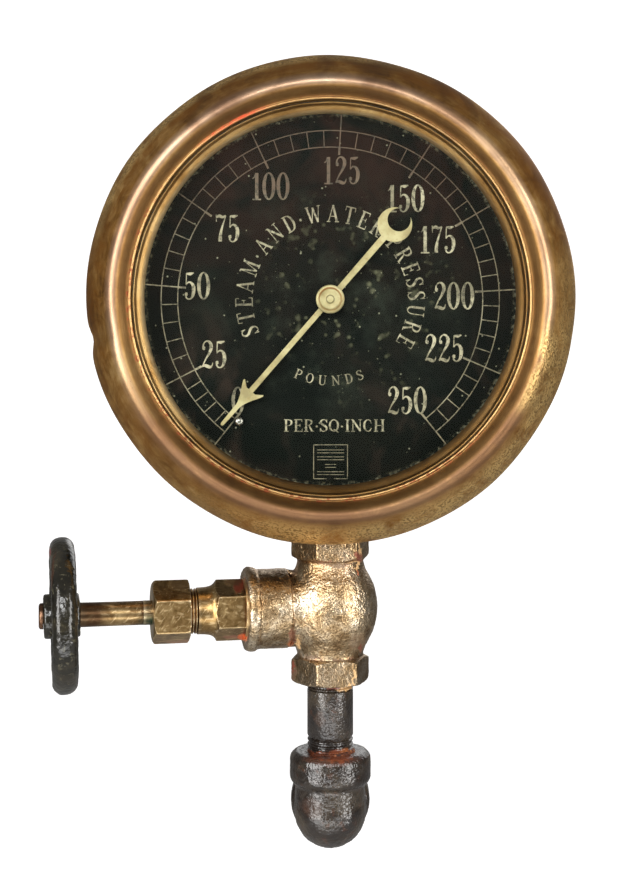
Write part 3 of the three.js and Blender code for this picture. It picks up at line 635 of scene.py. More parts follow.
def nut_brass():
    k, base, rough, normal = turned_brass("nut_brass", (96, 74, 42), (150, 120, 76), (186, 158, 110), 0.35)
    marks_and_painted_light = [
        # Painted shade on the tops: the dark brown patch on the packing nut (first on the next line) and on
        # the bonnet hex (the line after).
        (-43.5, 69.5, 3.4, 1.7, (64, 46, 26), 0.85), (-26.8, 68.6, 1.6, 1.8, RED_LEAD, 0.95),
        (-28.5, 69.6, 2.6, 1.1, (78, 52, 28), 0.8),
        # Painted highlight on the lower facets: the pale pink patch after the orange compound, and the one on
        # the next line.
        (-25.9, 53.4, 1.4, 1.4, (214, 104, 48), 1.0), (-29.0, 53.6, 2.6, 0.8, (150, 92, 70), 0.7),
        (-43.5, 52.6, 5.0, 0.9, (176, 134, 106), 0.6),
    ]
    base, cover = k.paint_patches(base, marks_and_painted_light, 1.4)
    metal = 1.0 - cover * 0.5
    return k.set(colour=base, rough=rough, metal=metal, normal=normal)


def stem_brass():
    k, base, rough, normal = turned_brass("stem_brass", (66, 48, 30), (132, 104, 66), (176, 150, 106), 0.12)
    n = k.node("ShaderNodeVectorMath", operation="DOT_PRODUCT")
    shift = k.node("ShaderNodeVectorMath", operation="SUBTRACT")
    k.put(shift.inputs[0], k.place)
    shift.inputs[1].default_value = VALVE_AT
    k.put(n.inputs[0], shift.outputs[0])
    n.inputs[1].default_value = BONNET
    along = Field(k, n.outputs["Value"]) * 1000
    blur = along + (k.noise(2.2, 4, 0.7) - 0.5) * 5
    under = k.span(k.axis(2, VALVE_AT.z), 0.5, -2.0)
    green = k.span(blur, 58.5, 53.5) * k.span(under, 0, 1, 0.1, 0.9)
    base = k.mix(green, base, (38, 72, 58))
    base = k.mix(k.span(blur, 65.0, 68.5) * 0.85, base, (78, 54, 36))
    return k.set(colour=base, rough=rough, metal=0.9, normal=normal)


def black_iron(name, rust_low):
    """Black iron under a worn varnish: nearly black, with lamp glints broken up by the rough skin."""
    k = Look(name)
    broad = k.noise(9, 3, 0.55, 0.4)
    mid = k.noise(2.4, 2, 0.5)
    grain = k.noise(1.0, 1.2, 0.5)
    tiny = k.noise(0.7, 2, 0.6)
    base = k.ramp(broad, [(0.36, (24, 18, 14)), (0.5, (36, 29, 23)), (0.64, (56, 48, 38))])
    base = k.mix(k.span(mid, rust_low, rust_low + 0.1) * 0.4, base, (78, 48, 32))
    base = k.mix(k.span(tiny, 0.52, 0.64) * 0.6, base, (12, 12, 11))
    rough = k.span(tiny, 0.35, 0.65, 0.14, 0.26)
    normal = k.bump(mid, 0.2, 0.4)
    normal = k.bump(grain, 0.15, 0.9, normal)
    normal = k.bump(k.noise(0.6, 1, 0.5), 0.13, 0.9, normal)
    return k, base, rough, normal


PIPE_STAINS = [
    (0.5, 17.6, 8.6, 1.3, (66, 36, 24), 0.7), (2.8, 18.6, 3.8, 1.3, (104, 50, 26), 0.85),
    (4.2, 19.2, 1.4, 0.8, (156, 92, 48), 0.6),
    (-3.8, 18.6, 2.6, 0.5, (104, 54, 32), 0.8), (-5.5, 3.5, 3.2, 3.2, (70, 48, 36), 0.4),
    (4.2, 37.6, 2.6, 0.8, CREAM, 0.9),
    (0.6, 38.2, 2.4, 0.7, RED_LEAD, 0.9), (6.2, 38.2, 0.7, 0.6, (196, 100, 50), 0.85),
    (-3.0, 29.0, 1.6, 2.4, (80, 58, 44), 0.3),
]


def pipe_iron():
    k, base, rough, normal = black_iron("pipe_iron", 0.6)
    base, cover = k.paint_patches(base, PIPE_STAINS, 1.6)
    rough = rough + cover * 0.15
    return k.set(colour=base, rough=rough, metal=0.0, normal=normal, specular=0.75)


def wheel_enamel():
    """Olive black enamel, worn through to the iron in small chips."""
    k = Look("wheel_enamel")
    broad = k.noise(8, 3, 0.55, 0.5)
    chips = k.noise(1.6, 3, 0.6, 0.6)
    grain = k.noise(1.2, 1.2, 0.5)
    bare = k.span(chips, 0.6, 0.7)
    paint = k.ramp(broad, [(0.36, (15, 14, 10)), (0.52, (28, 26, 19)), (0.66, (46, 41, 30))])
    base = k.mix(bare * 0.55, paint, (92, 88, 70))
    chip = [(-79.8, 80.1, 0.9, 0.8, (126, 34, 24), 0.9), (-77.4, 76.0, 0.5, 5.0, (62, 40, 28), 0.6),
            (-81.2, 36.6, 0.9, 0.9, (120, 114, 98), 0.6)]
    base, cover = k.paint_patches(base, chip, 1.0, False)
    rough = k.span(broad, 0.35, 0.65, 0.1, 0.22)
    normal = k.bump(chips, 0.12, 0.5)
    normal = k.bump(grain, 0.13, 0.8, normal)
    normal = k.bump(k.noise(0.55, 1, 0.5), 0.06, 0.8, normal)
    return k.set(colour=base, rough=rough, metal=0.0, normal=normal, specular=0.55)


def case_enamel():
    k = Look("case_enamel")
    broad = k.noise(30, 4, 0.6, 0.3)
    fine = k.noise(1.2, 4, 0.7)
    base = k.ramp(broad, [(0.35, (26, 26, 25)), (0.5, (40, 39, 37)), (0.66, (58, 54, 48))])
    chips = k.span(k.noise(6, 6, 0.75), 0.66, 0.7)
    base = k.mix(chips * 0.9, base, (96, 72, 52))
    point = k.pointiness()
    base = k.mix(k.span(point, 0.52, 0.58) * 0.6, base, (120, 104, 84))
    rough = k.span(fine, 0.3, 0.7, 0.3, 0.55)
    normal = k.bump(fine, 0.12, 0.5)
    return k.set(colour=base, rough=rough, metal=0.1, normal=normal)


def dial_black():
    k = Look("dial_black")
    z = k.axis(2, GAUGE_AT.z)
    x = k.axis(0, GAUGE_AT.x)
    broad = k.noise(26, 4, 0.6, 0.6)
    base = k.ramp(broad, [(0.36, (10, 15, 12)), (0.5, (14, 17, 14)), (0.64, (19, 20, 16))])
    brown = k.span(z, -6, 34) * k.span(k.noise(19, 4, 0.6, 0.9), 0.4, 0.6)
    base = k.mix(brown * 0.7, base, (40, 27, 22))
    r = k.gauge_radius()
    streak = k.span(k.noise(30, 4, 0.6, 1.5, stretch=(1, 1, 0.6)), 0.54, 0.68) * k.span(z, 4, -20)
    base = k.mix(streak * 0.5, base, (52, 42, 36))
    haze = k.span(k.noise(9, 4, 0.65), 0.5, 0.7) * k.span(r, 46, 10)
    base = k.mix(haze * 0.45, base, (48, 54, 46))
    close = k.span(k.far(x - 6, z), 34, 8)
    some = k.span(k.noise(6, 3, 0.6), 0.46, 0.58) * close
    soft = k.span(k.cells(2.4, "SMOOTH_F1"), 0.3, 0.1)
    base = k.mix(soft * some * 0.55, base, (112, 112, 88))
    dots = k.span(k.cells(1.5), 0.13, 0.05)
    base = k.mix(dots * some * 0.8, base, (160, 158, 132))
    rare = k.span(k.cells(2.1), 0.16, 0.08) * k.span(k.noise(3.1, 1, 0.5), 0.58, 0.63)
    base = k.mix(rare * 0.7, base, (150, 148, 126))
    edge = k.span(r, 52.6, 53.6) * k.span(k.noise(1.2, 4, 0.7), 0.5, 0.6)
    base = k.mix(edge * 0.6, base, (120, 116, 96))
    rough = k.span(k.noise(3, 4), 0.3, 0.7, 0.32, 0.5)
    return k.set(colour=base, rough=rough, metal=0.0, specular=0.03)


def dial_print():
    k = Look("dial_print")
    z = k.axis(2, GAUGE_AT.z)
    x = k.axis(0, GAUGE_AT.x)
    r = k.gauge_radius()
    worn = k.noise(0.9, 4, 0.7)
    base = k.ramp(k.noise(7, 4, 0.6), [(0.36, (110, 104, 84)), (0.5, (144, 137, 113)),
                                       (0.62, (170, 163, 138))])
    ladder = k.span(r, 41.6, 42.4)
    base = k.mix(ladder * 0.45, base, (98, 90, 70))
    high = k.span(z, 20, 32)
    left = k.span(abs(x + 7.0), 26, 14)
    brown = k.most(high * left, ladder * k.span(z, 0, 34))
    base = k.mix(brown * 0.9, base, (78, 58, 44))
    base = k.mix(k.span(worn, 0.49, 0.6) * 0.8, base, (52, 49, 40))
    return k.set(colour=base, rough=0.5, metal=0.0, specular=0.3, normal=k.bump(worn, 0.02, 0.3))


def pointer_paint():
    k = Look("pointer_paint")
    base = k.ramp(k.noise(5, 4, 0.6), [(0.36, (140, 128, 90)), (0.5, (162, 151, 108)),
                                       (0.64, (178, 168, 128))])
    base = k.mix(k.span(k.noise(1.0, 4, 0.7), 0.54, 0.7) * 0.55, base, (140, 112, 62))
    r = k.gauge_radius()
    # Orange-brown in the hub's recess, made darker on its upper side as painted shadow inside the rim.
    recess_brown_and_shadow = k.span(abs(r - 3.2), 0.35, 0.1)
    high = k.span(k.axis(2, GAUGE_AT.z), -1.0, 3.0)
    base = k.mix(recess_brown_and_shadow * k.span(high, 0, 1, 0.35, 0.9), base, (142, 92, 40))
    staff = k.span(abs(r - 1.1), 0.25, 0.1)
    base = k.mix(staff * 0.7, base, (96, 88, 60))
    return k.set(colour=base, rough=0.4, metal=0.2, normal=k.bump(k.noise(0.8, 3), 0.02, 0.3))


def simple_metal(name, dark, light, rough_low, rough_high, size=4.0, metal=1.0):
    k = Look(name)
    patch = k.noise(size, 5, 0.6, 0.3)
    base = k.ramp(patch, [(0.36, dark), (0.64, light)])
    lines = k.noise(0.6, 3, 0.6, 0.6, stretch=(1, 0.2, 1))
    rough = k.span(lines, 0.35, 0.65, rough_low, rough_high)
    return k.set(colour=base, rough=rough, metal=metal, normal=k.bump(lines, 0.03, 0.35))


def clear_glass():
    """Window glass that lets lamp light straight through to the dial."""
    k = Look("clear_glass")
    k.shader.inputs["Transmission Weight"].default_value = 1.0
    k.shader.inputs["IOR"].default_value = 1.24
    k.shader.inputs["Roughness"].default_value = 0.0
    k.put(k.shader.inputs["Base Color"], k.mix(k.span(k.noise(18, 4, 0.6, 0.5), 0.45, 0.7), (250, 251, 248),
                                               (240, 241, 236)))
    clear = k.node("ShaderNodeBsdfTransparent")
    clear.inputs[0].default_value = (0.97, 0.98, 0.965, 1)
    path = k.node("ShaderNodeLightPath")
    mix = k.node("ShaderNodeMixShader")
    through = k.most(path.outputs["Is Shadow Ray"], path.outputs["Is Diffuse Ray"])
    k.put(mix.inputs[0], k.most(through, path.outputs["Is Glossy Ray"]))
    k.put(mix.inputs[1], k.shader.outputs[0])
    k.put(mix.inputs[2], clear.outputs[0])
    k.put(k.out.inputs[0], mix.outputs[0])
    return k.material


def rust():
    k = Look("rust_and_compound")
    mid = k.noise(1.8, 5, 0.7, 0.5)
    base = k.ramp(mid, [(0.36, (44, 24, 16)), (0.48, (78, 38, 22)), (0.56, (118, 62, 32)),
                        (0.66, (176, 122, 76))])
    normal = k.bump(k.noise(0.6, 4, 0.7), 0.2, 0.8)
    return k.set(colour=base, rough=0.65, metal=0.2, normal=normal)


def pale_floor():
    """White to the eye, but a mid grey in reflections, as flags round the table would make it."""
    k = Look("pale_floor")
    base = k.mix(k.noise(300, 3, 0.5), (246, 246, 246), (251, 251, 251))
    k.shader.inputs["Emission Color"].default_value = (1, 1, 1, 1)
    k.shader.inputs["Emission Strength"].default_value = FLOOR_GLOW
    k.set(colour=base, rough=0.9, specular=0.0)
    dim = k.node("ShaderNodeBsdfDiffuse")
    dim.inputs[0].default_value = (FLOOR_DIM, FLOOR_DIM, FLOOR_DIM, 1)
    path = k.node("ShaderNodeLightPath")
    mix = k.node("ShaderNodeMixShader")
    k.put(mix.inputs[0], path.outputs["Is Camera Ray"])
    k.put(mix.inputs[1], dim.outputs[0])
    k.put(mix.inputs[2], k.shader.outputs[0])
    k.put(k.out.inputs[0], mix.outputs[0])
    return k.material


RING_BRASS = ring_brass()
BEVEL_BRASS = bevel_brass()
CAST_BRASS = cast_brass()
NUT_BRASS = nut_brass()
STEM_BRASS = stem_brass()
PIPE_IRON = pipe_iron()
WHEEL_ENAMEL = wheel_enamel()
CASE_ENAMEL = case_enamel()
DIAL_BLACK = dial_black()
DIAL_PRINT = dial_print()
POINTER_PAINT = pointer_paint()
GLASS = clear_glass()
RUST = rust()
MOVEMENT = simple_metal("movement_brass", (176, 142, 82), (216, 184, 120), 0.2, 0.36)
STEEL = simple_metal("plain_steel", (112, 110, 104), (164, 162, 154), 0.22, 0.4)
COPPER = simple_metal("worn_copper", (88, 62, 46), (150, 116, 92), 0.3, 0.5, 2.5)
RUBBER = simple_metal("gasket_rubber", (30, 27, 24), (52, 46, 40), 0.7, 0.9, 3, 0.0)
GRAPHITE = simple_metal("graphite_packing", (42, 42, 44), (72, 72, 74), 0.5, 0.8, 1.5, 0.2)


# ---------------------------------------------------------------- front ring, bevel and glass
def dent(angle, centre, width):
    d = (math.degrees(angle) - centre + 180) % 360 - 180
    return math.exp(-((d / width) ** 2))


def ring_warp(a, r, h):
    """The spun ring's slight waviness and the two knocks it has taken."""
    out = max(0.0, min(1.0, (r - 61) / 9))
    wave = 0.16 * math.sin(3 * a + 0.6) + 0.1 * math.sin(7 * a + 2.1) + 0.07 * math.sin(13 * a)
    r += wave * out
    r -= 1.1 * dent(a, 189.5, 2.6) * out
    h -= 0.9 * dent(a, 187, 5.5) * max(0.0, min(1.0, (r - 58.5) / 6)) * (h > 13.5)
    h -= 0.7 * dent(a, -8, 4.5) * max(0.0, min(1.0, (r - 59) / 5)) * (h > 13.5)
    return r, h


def front_ring():
    skin = smooth_line([
        (70.9, 14.3), (70.5, 15.8), (69.5, 17.8), (68.0, 20.2), (66.2, 22.6), (64.4, 24.8),
        (63.1, 26.1), (62.2, 26.75), (61.2, 27.0), (60.3, 26.75), (59.4, 26.1), (58.6, 25.35), (57.95, 24.7),
        (57.5, 24.35), (57.25, 24.3),
    ], 4)
    bead = smooth_line([(57.25, 24.3), (57.1, 24.62), (56.8, 24.78), (56.5, 24.62), (56.32, 24.2),
                        (56.25, 23.5)], 4)[1:]
    inner = rounded([
        (56.25, 22.42), (57.7, 22.42), (57.7, 12.6), (60.2, 12.6), (60.2, 7.6), (61.8, 7.6),
        (61.8, 22.4, 1.0), (63.3, 22.9, 0.8), (66.2, 20.0, 2), (68.5, 16.4, 2), (69.5, 12.6),
        (70.7, 12.5), (70.95, 13.2),
    ], 0.25, 3, closed=False)
    profile = skin + bead + inner
    mesh = revolve("front_ring", profile, GAUGE, 288, warp=ring_warp, sharp=50)
    link("ring_front", mesh, RING_BRASS, "frame", ["front_ring"])


def glass_and_bevel():
    pane = [(0, 19.5), (57.2, 19.5), (57.4, 19.7), (57.4, 22.1), (57.2, 22.3), (0, 22.3)]
    mesh = revolve("glass_pane", pane, GAUGE, 160, closed=False)
    link("glass_disc", mesh, GLASS, "frame", ["glass_pane"])
    face = smooth_line([(53.75, 13.45), (54.25, 14.2), (54.85, 14.85), (55.45, 15.35), (55.85, 15.75),
                        (56.02, 16.4)], 4)
    bevel = [(53.8, 13.1), (53.7, 13.3)] + face
    bevel += rounded([(56.05, 18.6), (56.1, 19.05, 0.25), (57.2, 19.05), (57.2, 13.1)], 0.1, 3, closed=False)
    mesh = revolve("bevel_ring", bevel, GAUGE, 240)
    link("ring_bevel", mesh, BEVEL_BRASS, "frame", ["bevel_ring"])


def case():
    profile = rounded([
        (0, -16, 0), (57.2, -16, 3.5), (60, -13.2, 3.5), (60, 12, 0.3), (50.4, 12, 0.3), (50.4, 10.4, 0.3),
        (58, 7.4, 0.5), (58, -12.6, 2), (56.2, -14.4, 2), (0, -14.4, 0),
    ], 0.3, 6, closed=False)
    mesh = revolve("case_shell", profile, GAUGE, 192, closed=False)
    link("case_cup", mesh, CASE_ENAMEL, "frame", ["case_shell"])


# ---------------------------------------------------------------- dial
DIAL = 13.0  # face of the dial plate
PRINT = 0.05  # thickness of the raised paint
SCALE_IN, SCALE_OUT = 44.1, 48.9
MAJORS = [-141.5, -117.4, -85.3, -54.9, -25.3, 3.5, 32.9, 59.6, 86.9, 113.6, 141.3]


def at(radius, degrees):
    a = math.radians(degrees)
    return radius * math.sin(a), radius * math.cos(a)


def dial_plate():
    profile = [(1.4, 12.1), (57.0, 12.1), (57.1, 12.2), (57.1, 12.9), (57.0, DIAL), (1.4, DIAL)]
    mesh = revolve("dial_plate", profile, GAUGE, 160)
    link("dial_face", mesh, DIAL_BLACK, "frame", ["dial_plate"])


def arc_band(pile, inner, outer, start, end, steps):
    low, high = DIAL + 0.005, DIAL + PRINT
    verts, faces = [], []
    for i in range(steps + 1):
        a = start + (end - start) * i / steps
        for r in (inner, outer):
            for h in (low, high):
                verts.append((*at(r, a), h))
    for i in range(steps):
        b, c = 4 * i, 4 * i + 4
        faces += [(b, b + 1, c + 1, c), (b + 2, c + 2, c + 3, b + 3)]
        faces += [(b, c, c + 2, b + 2), (b + 1, b + 3, c + 3, c + 1)]
    faces += [(0, 2, 3, 1), (4 * steps, 4 * steps + 1, 4 * steps + 3, 4 * steps + 2)]
    pile.add(verts, faces)


def tick(pile, angle, inner, outer, width, lift=0.0):
    side = at(width / 2, angle + 90)
    a, b = at(inner, angle), at(outer, angle)
    outline = [
        (a[0] - side[0], a[1] - side[1]), (b[0] - side[0], b[1] - side[1]),
        (b[0] + side[0], b[1] + side[1]), (a[0] + side[0], a[1] + side[1]),
    ]
    pile.add(*slab(outline, DIAL + 0.005, DIAL + PRINT + lift))


def dial_scale():
    pile = Pile()
    arc_band(pile, SCALE_IN - 0.14, SCALE_IN + 0.14, MAJORS[0], MAJORS[-1], 180)
    arc_band(pile, SCALE_OUT - 0.14, SCALE_OUT + 0.14, MAJORS[0], MAJORS[-1], 180)
    for k, angle in enumerate(MAJORS):
        tick(pile, angle, SCALE_IN - 2.2, 53.6, 0.34, 0.004)
        tick(pile, angle, SCALE_IN - 2.2, SCALE_IN + 0.2, 0.6, 0.008)
        if k < len(MAJORS) - 1:
            for i in range(1, 5):
                between = angle + (MAJORS[k + 1] - angle) * i / 5
                tick(pile, between, SCALE_IN, SCALE_OUT, 0.26, 0.004)
    mesh = pile.mesh("dial_scale", GAUGE)
    link("dial_scale", mesh, DIAL_PRINT, "frame")


# Strokes of each character in a box one unit high: points of (x, y, pen width).
def oval(cx, cy, rx, ry, thin, thick, start=0, end=360, steps=22):
    out = []
    for i in range(steps + 1):
        t = math.radians(start + (end - start) * i / steps)
        w = thin + (thick - thin) * abs(math.cos(t)) ** 1.3
        out.append((cx + rx * math.cos(t), cy + ry * math.sin(t), w))
    return out


def serif(x0, x1, y):
    return [(x0, y, 0.05), (x1, y, 0.05)]


def stem(x, width=0.13):
    return [(x, 0.03, width), (x, 0.97, width)]


GLYPHS = {
    "0": (0.56, [oval(0.27, 0.5, 0.19, 0.47, 0.045, 0.14)]),
    "1": (0.46, [stem(0.25, 0.13), [(0.08, 0.76, 0.03), (0.16, 0.82, 0.05), (0.22, 0.95, 0.07)],
                 serif(0.08, 0.42, 0.025)]),
    "2": (0.54, [
        smooth_line([(0.11, 0.72, 0.07), (0.13, 0.87, 0.05), (0.23, 0.965, 0.05), (0.34, 0.95, 0.08),
                     (0.42, 0.84, 0.13),
                     (0.42, 0.7, 0.13), (0.34, 0.52, 0.09), (0.2, 0.3, 0.05), (0.09, 0.08, 0.04)], 4),
        smooth_line([(0.07, 0.06, 0.05), (0.16, 0.1, 0.09), (0.28, 0.07, 0.12), (0.38, 0.04, 0.1),
                     (0.46, 0.09, 0.05), (0.49, 0.2, 0.03)], 4),
        oval(0.14, 0.71, 0.03, 0.035, 0.07, 0.07, steps=8)]),
    "5": (0.54, [
        [(0.13, 0.93, 0.06), (0.28, 0.92, 0.11), (0.42, 0.96, 0.04)],
        [(0.13, 0.95, 0.035), (0.115, 0.53, 0.035)],
        smooth_line([(0.11, 0.53, 0.04), (0.2, 0.62, 0.05), (0.31, 0.61, 0.08), (0.4, 0.49, 0.13),
                     (0.415, 0.31, 0.14),
                     (0.37, 0.13, 0.1), (0.27, 0.03, 0.05), (0.16, 0.04, 0.05), (0.09, 0.14, 0.06)], 4),
        oval(0.12, 0.2, 0.03, 0.035, 0.07, 0.07, steps=8)]),
    "7": (0.5, [
        [(0.07, 0.99, 0.03), (0.08, 0.74, 0.03)],
        smooth_line([(0.08, 0.9, 0.06), (0.2, 0.94, 0.11), (0.33, 0.9, 0.09), (0.45, 0.96, 0.04)], 4),
        smooth_line([(0.45, 0.95, 0.04), (0.37, 0.72, 0.05), (0.29, 0.48, 0.08), (0.24, 0.25, 0.12),
                     (0.23, 0.03, 0.14)], 4)]),
    "A": (0.78, [[(0.12, 0.03, 0.05), (0.38, 0.97, 0.06)], [(0.37, 0.97, 0.12), (0.64, 0.03, 0.13)],
                 [(0.2, 0.33, 0.05), (0.54, 0.33, 0.05)], serif(0.02, 0.24, 0.03), serif(0.52, 0.76, 0.03)]),
    "C": (0.7, [oval(0.36, 0.5, 0.26, 0.46, 0.05, 0.13, 55, 305), [(0.52, 0.86, 0.05), (0.57, 0.66, 0.05)],
                [(0.5, 0.12, 0.05), (0.58, 0.28, 0.04)]]),
    "D": (0.74, [stem(0.18), smooth_line([(0.16, 0.96, 0.05), (0.36, 0.95, 0.06), (0.54, 0.82, 0.11),
                                          (0.62, 0.5, 0.14),
                                         (0.54, 0.18, 0.11), (0.36, 0.05, 0.06), (0.16, 0.04, 0.05)], 4),
                 serif(0.05, 0.3, 0.965), serif(0.05, 0.3, 0.03)]),
    "E": (0.66, [stem(0.18), [(0.05, 0.965, 0.06), (0.56, 0.965, 0.06)],
                 [(0.05, 0.03, 0.06), (0.58, 0.03, 0.06)],
                 [(0.2, 0.51, 0.05), (0.44, 0.51, 0.05)], [(0.56, 0.98, 0.04), (0.56, 0.78, 0.04)],
                 [(0.585, 0.02, 0.04), (0.585, 0.24, 0.04)], [(0.44, 0.4, 0.04), (0.44, 0.62, 0.04)]]),
    "H": (0.8, [stem(0.18), stem(0.62), [(0.2, 0.5, 0.05), (0.6, 0.5, 0.05)], serif(0.05, 0.31, 0.965),
                serif(0.05, 0.31, 0.03),
                serif(0.49, 0.75, 0.965), serif(0.49, 0.75, 0.03)]),
    "I": (0.4, [stem(0.2), serif(0.06, 0.34, 0.965), serif(0.06, 0.34, 0.03)]),
    "M": (0.92, [stem(0.16, 0.05), stem(0.74, 0.13), [(0.16, 0.95, 0.1), (0.44, 0.08, 0.1)],
                 [(0.44, 0.08, 0.05), (0.72, 0.95, 0.05)],
                 serif(0.04, 0.28, 0.03), serif(0.6, 0.88, 0.03), serif(0.04, 0.18, 0.965),
                 serif(0.74, 0.88, 0.965)]),
    "N": (0.8, [stem(0.16, 0.05), stem(0.64, 0.05), [(0.15, 0.95, 0.12), (0.64, 0.06, 0.12)],
                serif(0.04, 0.28, 0.03), serif(0.52, 0.76, 0.965), serif(0.04, 0.18, 0.965)]),
    "O": (0.74, [oval(0.37, 0.5, 0.27, 0.46, 0.05, 0.13)]),
    "P": (0.66, [stem(0.18), smooth_line([(0.16, 0.96, 0.05), (0.38, 0.95, 0.06), (0.52, 0.86, 0.11),
                                          (0.53, 0.66, 0.11),
                                         (0.4, 0.5, 0.06), (0.18, 0.48, 0.05)], 4), serif(0.05, 0.34, 0.03),
                                         serif(0.05, 0.2, 0.965)]),
    "Q": (0.76, [oval(0.37, 0.5, 0.27, 0.46, 0.05, 0.13),
                 [(0.36, 0.2, 0.05), (0.5, 0.1, 0.1), (0.66, -0.06, 0.06)]]),
    "R": (0.74, [stem(0.18), smooth_line([(0.16, 0.96, 0.05), (0.38, 0.95, 0.06), (0.52, 0.86, 0.11),
                                          (0.53, 0.68, 0.11),
                                         (0.4, 0.53, 0.06), (0.18, 0.51, 0.05)], 4),
                                         [(0.36, 0.52, 0.08), (0.56, 0.06, 0.12)],
                 serif(0.05, 0.32, 0.03), serif(0.5, 0.7, 0.03), serif(0.05, 0.2, 0.965)]),
    "S": (0.6, [smooth_line([(0.5, 0.74, 0.05), (0.42, 0.92, 0.05), (0.27, 0.965, 0.06), (0.13, 0.87, 0.1),
                             (0.13, 0.68, 0.13),
                             (0.29, 0.53, 0.14), (0.46, 0.37, 0.14), (0.48, 0.17, 0.1), (0.33, 0.04, 0.06),
                             (0.18, 0.06, 0.05),
                             (0.08, 0.26, 0.05)], 4), [(0.5, 0.98, 0.04), (0.5, 0.72, 0.04)],
                             [(0.075, 0.02, 0.04), (0.075, 0.28, 0.04)]]),
    "T": (0.7, [stem(0.35), [(0.05, 0.965, 0.06), (0.65, 0.965, 0.06)],
                [(0.06, 0.98, 0.04), (0.05, 0.74, 0.04)],
                [(0.64, 0.98, 0.04), (0.65, 0.74, 0.04)], serif(0.22, 0.48, 0.03)]),
    "U": (0.76, [smooth_line([(0.17, 0.97, 0.13), (0.17, 0.34, 0.13), (0.22, 0.12, 0.1), (0.38, 0.035, 0.06),
                              (0.53, 0.12, 0.05),
                             (0.59, 0.34, 0.05), (0.59, 0.97, 0.05)], 4), serif(0.05, 0.3, 0.965),
                             serif(0.48, 0.7, 0.965)]),
    "W": (0.96, [[(0.1, 0.97, 0.12), (0.29, 0.05, 0.11)], [(0.29, 0.05, 0.05), (0.48, 0.9, 0.05)],
                 [(0.47, 0.92, 0.12), (0.66, 0.05, 0.11)],
                 [(0.66, 0.05, 0.05), (0.86, 0.97, 0.05)], serif(0.0, 0.22, 0.965),
                 serif(0.76, 0.95, 0.965)]),
    ".": (0.3, [oval(0.14, 0.42, 0.03, 0.03, 0.1, 0.1, steps=8)]),
    " ": (0.4, []),
}


def pen_stroke(pile, points, place, height, lift):
    """One ribbon of varying width along the points, as a thin solid."""
    p = np.array(points, float)
    run = np.gradient(p[:, :2], axis=0)
    run /= np.maximum(np.linalg.norm(run, axis=1, keepdims=True), 1e-9)
    side = np.stack([-run[:, 1], run[:, 0]], 1) * p[:, 2:3] / 2
    left, right = p[:, :2] + side, p[:, :2] - side
    n = len(p)
    verts = []
    for h in (DIAL + 0.005, DIAL + PRINT + lift):
        for q in (left, right):
            verts += [(*place(x * height, y * height), h) for x, y in q]
    faces = []
    for i in range(n - 1):
        j = i + 1
        faces += [(i, j, n + j, n + i), (2 * n + i, 3 * n + i, 3 * n + j, 2 * n + j)]
        faces += [(i, 2 * n + i, 2 * n + j, j), (n + i, n + j, 3 * n + j, 3 * n + i)]
    faces += [(0, n, 3 * n, 2 * n), (n - 1, 3 * n - 1, 4 * n - 1, 2 * n - 1)]
    pile.add(verts, faces)


def character(pile, letter, place, height):
    lift = 0.0
    for points in GLYPHS[letter][1]:
        pen_stroke(pile, points, place, height, lift)
        lift += 0.003


def word_width(text, height, squeeze):
    return sum(GLYPHS[c][0] for c in text) * height * squeeze


def straight_text(pile, text, cx, cy, height, squeeze=1.0, tilt=0.0):
    """Text centred on a point of the dial."""
    x = -word_width(text, height, squeeze) / 2
    c, s = math.cos(math.radians(tilt)), math.sin(math.radians(tilt))
    for letter in text:
        def place(u, v, x=x):
            u, v = x + u * squeeze, v - height / 2
            return cx + c * u - s * v, cy + s * u + c * v
        character(pile, letter, place, height)
        x += GLYPHS[letter][0] * height * squeeze


def arc_text(pile, text, radius, start, end, height, squeeze=1.0, under=False):
    """Text spaced evenly along an arc, its feet on the circle, or its heads when it runs underneath."""
    widths = [GLYPHS[c][0] for c in text]
    total = sum(widths)
    done = 0.0
    for letter, w in zip(text, widths):
        angle = start + (end - start) * (done + w / 2) / total
        done += w
        tilt = math.radians(-angle if not under else 180 - angle)
        c, s = math.cos(tilt), math.sin(tilt)
        ox, oy = at(radius, angle)

        def place(u, v, w=w, ox=ox, oy=oy, c=c, s=s):
            u = (u - w * height / 2) * squeeze
            return ox + c * u - s * v, oy + s * u + c * v
        character(pile, letter, place, height)


NUMBERS = {
    "0": (-26.6, -29.2), "25": (-33.6, -15.8), "50": (-38.5, 4.0), "75": (-29.7, 20.6), "100": (-17.3, 32.8),
    "125": (3.3, 37.4), "150": (21.8, 29.3), "175": (31.1, 17.4), "200": (35.8, 1.1), "225": (32.9, -14.0),
    "250": (22.2, -29.1),
}


